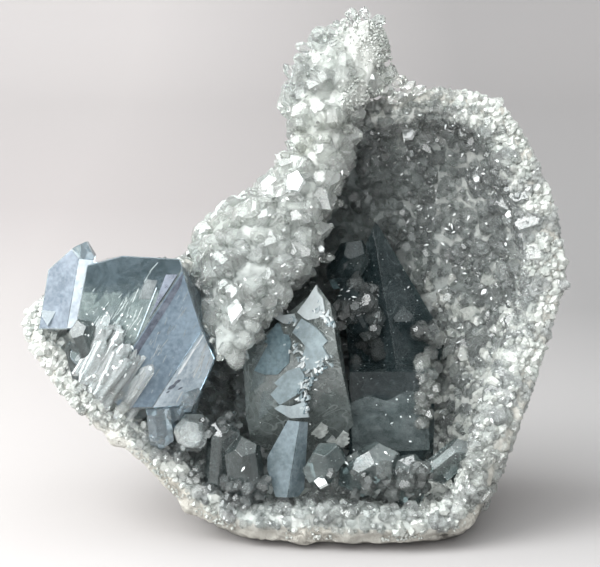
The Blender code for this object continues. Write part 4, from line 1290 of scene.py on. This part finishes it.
def left_face_bands():
    """Dark and pale patches on the left crystal's faces, the dark band along the top being painted
    reflection, and its bright edges, which are painted highlights.
    """
    stripe, front_stripe, patch = (np.array(rows).T for rows in (DARK_STRIPE, FRONT_STRIPE, PALE_PATCH))
    bands = []
    for layer in range(BAND_LAYERS):
        rights = np.linspace(-34.0, -60.0, BAND_TEETH) + rng.uniform(-0.4, 0.4, BAND_TEETH)
        ups = np.interp(rights, (-54.0, -44.3, -35.0), (-0.2, 0.6, -1.0)) + 1.9 * layer - 2.2
        reach = np.where(np.arange(BAND_TEETH) % 2 == 0, 0.0, 5.0 * rng.uniform(0.0, 1.0, BAND_TEETH) ** 3)
        rights = np.concatenate([(-60.0, -30.0), rights + LENGTHWISE[0] * reach])
        ups = np.concatenate([(9.0, 9.0), ups + LENGTHWISE[1] * reach])
        bands.append(left_plate(LEFT_SIDE, (rights, ups), 0.04 + 0.03 * layer, 0.02))
    stripes = [left_plate(LEFT_SIDE, stripe, 0.45), left_plate(LEFT_FRONT, front_stripe, 0.14)]
    specks = [left_plate(LEFT_BEVEL, sliver(*place, size, size * 0.3, SPECK_WAY), 0.1)
              for *place, size in DARK_SPECKS]
    # Painted highlights along two edges
    edges = [left_plate(LEFT_SIDE, sliver(-44.4, -13.2, 26.0, 0.28, EDGE_WAY), 0.2),
             left_plate(LEFT_BEVEL, sliver(-29.9, -18.8, 15.0, 0.7, LENGTHWISE), 0.12)]
    # Painted dark reflection along the top of the left face
    plates("left_crystal_painted_dark_reflection", bands, BAND)
    plates("left_crystal_dark_stripe", stripes, STRIPE)
    plates("left_crystal_pale_patch", [left_plate(LEFT_SIDE, patch, 0.18)], PATCH)
    plates("left_crystal_dark_specks", specks, STRIPE)
    plates("left_crystal_painted_edge_highlights", edges, BEVEL_FACE, (0.0, 0.6))


def streaks(name, index, middle, spread, way, count, length, width, finish, bright):
    """Fine lines on a face of the left crystal, all along one way, scattered round a middle by spread along
    it and across."""
    along = rng.normal(0.0, 1.0, count) * spread[0]
    across = rng.normal(0.0, 1.0, count) * spread[1]
    made = []
    for number in range(count):
        right_mm = middle[0] + way[0] * along[number] - way[1] * across[number]
        up_mm = middle[1] + way[1] * along[number] + way[0] * across[number]
        bent = unit(way + rng.normal(0.0, 0.1, 2))
        outline = sliver(right_mm, up_mm, rng.uniform(*length), rng.uniform(*width), bent)
        made.append(left_plate(index, outline, rng.uniform(0.04, 0.2), 0.05))
    plates(name, made, finish, rng.uniform(*bright, count))


left_face_bands()
streaks("left_crystal_streaks", LEFT_SIDE, (-51.0, -11.0), (6.0, 3.6), LENGTHWISE, 46, (1.0, 5.5),
        (0.08, 0.3), STROKE, (0.0, 0.05))
streaks("left_crystal_bright_streaks", LEFT_SIDE, (-51.5, -16.0), (6.0, 3.4), LENGTHWISE, 34, (1.0, 5.0),
        (0.1, 0.22), STROKE, (0.1, 0.5))
streaks("left_crystal_front_lines", LEFT_FRONT, (-38.0, -16.0), (9.0, 4.0), FRONT_WAY, 46, (0.8, 4.0),
        (0.06, 0.14), VEIL, (0.1, 0.4))
streaks("left_crystal_bevel_lines", LEFT_BEVEL, (-29.0, -21.0), (7.0, 2.4), FRONT_WAY, 24, (2.0, 9.0),
        (0.1, 0.3), VEIL, (0.2, 0.7))


FOOT_BLADES = 90


def blades():
    """Clear blades that lean against the foot of the left crystal, along its own length."""
    rights = rng.uniform(-61.0, -47.0, FOOT_BLADES)
    ups = -30.0 + rng.normal(0.0, 4.0, FOOT_BLADES) - 0.9 * (rights + 54.0)
    ups = np.maximum(ups, -22.5 - 1.15 * (rights + 61.0))
    places, _, _ = seen_on(tree_of(rind_shell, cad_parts["large_left_crystal"]), rights, ups)
    right, up, toward = view_frame()
    axes = lean(np.broadcast_to(right * 0.5 + up * 0.8 + toward * 0.2, places.shape), 0.09, rng)
    made = grow("foot_blades", places, axes, rng.uniform(8.0, 17.0, len(places)), BLADES, rng, 0.3,
                tone=rng.uniform(0.6, 1.0, len(places)), milk=rng.uniform(0.0, 0.6, len(places)))
    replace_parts(finish_with(made, BLADE), "geode_wall")
    DRUSE.append(made)


blades()

# Clusters by where they are seen: right, up, half width, half height, how many, sizes, tone
# The darkest group, at right 16.5 and up -17, is partly the crystals' own dark colour and partly painted
# shade low in the hollow
DARK_CLUSTERS = (
    (16.0, -5.0, 5.0, 6.0, 16, 5.0, 9.0, 0.1), (16.5, -17.0, 6.0, 5.0, 12, 4.0, 8.0, 0.03),
    (35.5, -12.0, 3.0, 4.0, 8, 5.0, 8.0, 0.35), (-22.0, -33.0, 5.0, 8.0, 40, 3.0, 6.0, 0.06),
    (22.0, -55.0, 15.0, 3.5, 34, 4.0, 8.0, 0.35), (-18.0, -58.0, 8.0, 4.0, 18, 4.0, 7.0, 0.3),
)
PALE_CLUSTERS = (
    (50.0, -59.0, 6.0, 3.5, 14, 3.0, 6.0, 0.1), (-56.0, -33.0, 7.0, 7.0, 40, 3.0, 6.0, 0.7),
    (37.0, -27.0, 4.0, 12.0, 46, 4.0, 8.0, 0.5),
)


def clusters(name, rows, finish, tree):
    """Groups of crystals that stand on what is seen at their places from the front."""
    rights, ups, sizes, tones = [], [], [], []
    for right_mm, up_mm, wide, high, count, small, large, tone in rows:
        rights.append(right_mm + wide * rng.uniform(-1.0, 1.0, count))
        ups.append(up_mm + high * rng.uniform(-1.0, 1.0, count))
        sizes.append(rng.uniform(small, large, count))
        tones.append(np.clip(tone * rng.uniform(0.5, 1.5, count), 0.0, 1.0))
    places, normals, met = seen_on(tree, np.concatenate(rights), np.concatenate(ups))
    sizes = np.concatenate(sizes)[met]
    tones = np.concatenate(tones)[met]
    axes = lean(normals + np.array((0.0, -0.3, 0.3)), 0.4, rng)
    made = grow(name, places, axes, sizes, STOUT, rng, 0.05, tone=tones, milk=np.full(len(places), 0.08))
    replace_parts(finish_with(made, finish), "cavity_crust")


GLASSY_CLUSTERS = ((-30.0, -41.3, 0.3, 0.3, 1, 11.5, 12.0, 0.9), (-30.0, -41.5, 4.0, 3.5, 10, 2.5, 5.0, 0.9))
CAD_CRYSTALS = [thing for node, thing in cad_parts.items() if node in CRYSTALS]
GROUND = tree_of(rind_shell, *CAD_CRYSTALS)
clusters("dark_clusters", DARK_CLUSTERS, DARK, GROUND)
clusters("pale_clusters", PALE_CLUSTERS, MILKY, GROUND)
clusters("glassy_clusters", GLASSY_CLUSTERS, BLADE, GROUND)


def painted_glint_marks(node, count, light):
    """Painted glints: tiny flecks and short lines on the faces of a large crystal."""
    places, normals = surface_points(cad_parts[node], count, rng)
    flat, turn = laid_flat(normals)
    tone = np.clip(light * rng.uniform(0.0, 1.5, count) ** 2, 0.0, 1.0)
    sizes = rng.uniform(0.2, 0.75, count)
    made = grow(f"{node}_flecks", places, flat, sizes, CHIPS, rng, 0.0, turn=turn, tone=tone)
    finish_with(made, VEIL)


for node, (_, slot, count, light) in CRYSTALS.items():
    painted_glint_marks(node, count, light)

# Painted highlights: white facets turned to throw the key light at the viewer: right, up, width, height, roll
# and outline
KITE = ((0.0, -0.5), (0.5, 0.08), (0.04, 0.5), (-0.5, 0.1))
BLOCK = ((-0.5, -0.28), (0.08, -0.5), (0.5, -0.08), (0.28, 0.5), (-0.36, 0.4))
PAINTED_HIGHLIGHTS = (
    (4.7, 51.0, 3.4, 4.2, 10, BLOCK), (-1.2, 28.0, 4.6, 5.6, 20, BLOCK), (-8.5, 27.5, 3.6, 4.4, -30, BLOCK),
    (-18.0, -7.8, 4.4, 7.6, 0, KITE), (-18.3, -2.6, 1.6, 2.8, -15, KITE), (6.0, -55.0, 3.6, 3.6, 180, KITE),
    (30.2, 41.5, 3.6, 3.6, 25, BLOCK), (49.0, 29.0, 1.8, 2.4, 40, BLOCK), (58.0, 19.0, 1.8, 2.2, -20, BLOCK),
    (13.0, 68.0, 2.0, 2.6, 15, BLOCK), (20.0, 57.0, 1.6, 2.2, 60, KITE), (51.0, -2.5, 1.5, 2.2, -35, KITE),
    (6.0, 9.5, 1.6, 2.0, 35, BLOCK), (-27.0, 14.5, 1.2, 2.2, -40, KITE),
)
# Where many tiny painted highlights are: right, up, half width, half height and how many
TINY_PAINTED_HIGHLIGHTS = (
    (44.0, 30.0, 16.0, 20.0, 90), (38.0, 18.0, 10.0, 26.0, 70), (48.0, -17.0, 11.0, 26.0, 90),
    (16.0, -5.0, 6.0, 6.0, 40), (26.0, -34.0, 7.0, 7.0, 13), (10.0, 48.0, 12.0, 18.0, 30),
    (-9.0, 4.0, 17.0, 20.0, 50), (-18.0, -48.0, 8.0, 11.0, 8), (44.0, -51.0, 8.0, 8.0, 14),
    (25.0, -51.0, 13.0, 8.0, 12), (11.0, -63.0, 36.0, 3.0, 24), (-52.0, -19.0, 8.0, 13.0, 30),
    (5.0, -30.0, 8.0, 10.0, 12),
)
# Key light's place, in metres
KEY_PLACE = (-0.5, -0.4, 0.8)


def tiny_painted_highlight_rows():
    """Rows like those of PAINTED_HIGHLIGHTS for the tiny painted highlights."""
    rows = []
    for right_mm, up_mm, wide, high, count in TINY_PAINTED_HIGHLIGHTS:
        for _ in range(count):
            width = 0.14 + 0.42 * rng.uniform() ** 2
            aside = wide * rng.uniform(-1.0, 1.0)
            above = high * rng.uniform(-1.0, 1.0)
            height = width * rng.uniform(1.0, 4.0)
            rows.append((right_mm + aside, up_mm + above, width, height, rng.uniform(-90.0, 90.0), KITE))
    return rows


def place_painted_highlights(tree, facet_rows):
    """Painted highlights: flat white facets, each normal to the half way between the eye's direction and the
    key's.
    """
    rows = np.array([row[:5] for row in facet_rows])
    places, _, met = seen_on(tree, rows[:, 0], rows[:, 1])
    _, ways = sight(rows[:, 0], rows[:, 1])
    key = np.array(KEY_PLACE) / MM - TO_ORIGIN
    found = iter(places)
    facets = []
    for (_, _, width, height, roll, outline), way, hit in zip(facet_rows, ways, met):
        if not hit:
            continue
        place = next(found)
        half = unit(unit(key - place) - way)
        a = math.radians(roll)
        upward = unit(np.cross(half, np.cross(np.array((0.0, 0.0, 1.0)), half)))
        across = np.cross(upward, half)
        x, y = np.array(outline).T * np.array((width, height))[:, None]
        flat = np.outer(x * math.cos(a) - y * math.sin(a), across)
        flat = flat + np.outer(x * math.sin(a) + y * math.cos(a), upward)
        facets.append((place + flat, half, min(0.9, 0.3 + 0.2 * width), min(1.6, 0.5 * width)))
    plates("painted_highlight_facets", facets, PAINTED_HIGHLIGHT_SKIN, np.full(len(facets), 0.8))


# Painted highlights on the crystals
place_painted_highlights(tree_of(*DRUSE, *CAD_CRYSTALS), [*PAINTED_HIGHLIGHTS, *tiny_painted_highlight_rows()])


# Stage, lights and camera

# Backdrop: half its width, its flat part, where its bend starts, the bend's radius, and its top
PAPER_HALF = 3000.0
PAPER_FLAT = (-3000.0, -800.0, 0.0)
PAPER_BEND = 900.0
PAPER_ROUND = 500.0
PAPER_TOP = 3500.0
# Its colours at places from front to back, at the left and at the right: painted light falloff, darker to the
# right, away from the window side, and darker partway back than at the front and on the upright part
PAPER_LEFT = ((0.12, (0.348, 0.325, 0.32)), (0.51, (0.297, 0.27, 0.268)), (0.98, (0.349, 0.322, 0.32)))
PAPER_RIGHT = ((0.12, (0.262, 0.25, 0.25)), (0.32, (0.163, 0.156, 0.156)), (0.98, (0.219, 0.205, 0.205)))
# Where its colour changes across it and from front to back, in metres
PAPER_SPANS = (("X", -0.12, 0.12), ("Y", -0.15, 1.1))
# Lights, in metres, and the room's light: its colour, brightest side and levels from the far side to that one
FILL_PLACE = (-0.25, -1.0, 0.35)
LIT_PLACE = (0.0, 0.0, 0.06)
COOL = (0.955, 1.0, 1.0)
WINDOW_SIDE = (-0.8, 0.3, 0.52)
ROOM_LEVELS = ((0.0, 0.045), (0.3, 0.085), (0.5, 0.26), (0.84, 0.28), (0.93, 1.0))
ROOM_STRENGTH = 9.0
BOUNCES = 24


def backdrop():
    """Pale paper: flat, then rising behind in a quarter circle, then upright, with painted light falloff in
    its colour.
    """
    turn = np.linspace(0.0, math.pi / 2, 24)
    y = np.concatenate([PAPER_FLAT, PAPER_BEND + PAPER_ROUND * np.sin(turn), [PAPER_BEND + PAPER_ROUND]])
    z = np.concatenate([np.zeros(3), PAPER_ROUND - PAPER_ROUND * np.cos(turn), [PAPER_TOP]])
    across = np.broadcast_to(np.linspace(-PAPER_HALF, PAPER_HALF, 3), (len(y), 3))
    grid = np.stack([across, *(np.repeat(value[:, None], 3, axis=1) for value in (y, z))], axis=-1)
    index = np.arange(len(y) - 1)[:, None] * 3 + np.arange(2)
    loops = np.stack([index, index + 1, index + 4, index + 3], axis=-1).reshape(-1)
    mesh = bpy.data.meshes.new("backdrop")
    mesh.from_pydata((grid.reshape(-1, 3) * MM).tolist(), [], loops.reshape(-1, 4).tolist())
    paper = bpy.data.objects.new("backdrop", mesh)
    bpy.context.scene.collection.objects.link(paper)
    mesh.polygons.foreach_set("use_smooth", np.full(len(mesh.polygons), True))
    finish, tree, shader = nodes_of("paper")
    split = tree.nodes.new("ShaderNodeSeparateXYZ")
    feed(tree, split, {"Vector": object_place(tree)})
    shares = []
    for axis, low, high in PAPER_SPANS:
        share = tree.nodes.new("ShaderNodeMapRange")
        feed(tree, share, {"Value": split.outputs[axis], "From Min": low, "From Max": high})
        shares.append(share.outputs["Result"])
    across, away = shares
    # Painted light falloff: the paper's colour darkens to the right and partway back
    left, right = (ramp(tree, away, stops) for stops in (PAPER_LEFT, PAPER_RIGHT))
    feed(tree, shader, {"Base Color": blend(tree, across, left, right), "Roughness": 0.9})
    paper.data.materials.append(finish)


def softbox(name, place, size, power):
    """Square area light at place, turned to the object, with places and size in metres."""
    data = bpy.data.lights.new(name, "AREA")
    data.shape = "SQUARE"
    data.size = size
    data.energy = power
    lamp = bpy.data.objects.new(name, data)
    lamp.location = place
    lamp.rotation_euler = (Vector(LIT_PLACE) - Vector(place)).to_track_quat("-Z", "Y").to_euler()
    bpy.context.scene.collection.objects.link(lamp)


def surroundings():
    """Soft room light: brightest from the window side, up to the left, and weakest from the lower right."""
    world = bpy.data.worlds.new("studio")
    world.use_nodes = True
    tree = world.node_tree
    facing = tree.nodes.new("ShaderNodeVectorMath")
    facing.operation = "DOT_PRODUCT"
    way = tree.nodes.new("ShaderNodeTexCoord").outputs["Generated"]
    feed(tree, facing, {0: way, 1: unit(np.array(WINDOW_SIDE))})
    spread = tree.nodes.new("ShaderNodeMapRange")
    feed(tree, spread, {"Value": facing.outputs["Value"], "From Min": -1.0})
    stops = [(place, tuple(level * part for part in COOL)) for place, level in ROOM_LEVELS]
    light = ramp(tree, spread.outputs["Result"], stops)
    feed(tree, tree.nodes["Background"], {"Color": light, "Strength": ROOM_STRENGTH})
    bpy.context.scene.world = world


backdrop()
softbox("key", KEY_PLACE, 0.5, 6.0)
softbox("fill", FILL_PLACE, 0.6, 5.0)
surroundings()
bpy.context.scene.view_settings.view_transform = "Standard"
bpy.context.scene.cycles.max_bounces = BOUNCES
bpy.context.scene.cycles.transmission_bounces = BOUNCES

right, up, toward = view_frame()
camera = bpy.data.objects.new("camera", bpy.data.cameras.new("camera"))
camera.location = Vector((CAMERA_AIM + toward * CAMERA_AWAY + TO_ORIGIN) * MM)
camera.rotation_euler = (math.radians(90.0 - LOOK_DOWN), 0.0, 0.0)
camera.data.sensor_width = SENSOR
camera.data.lens = SENSOR * CAMERA_AWAY / CAMERA_WIDTH
bpy.context.scene.collection.objects.link(camera)
bpy.context.scene.camera = camera
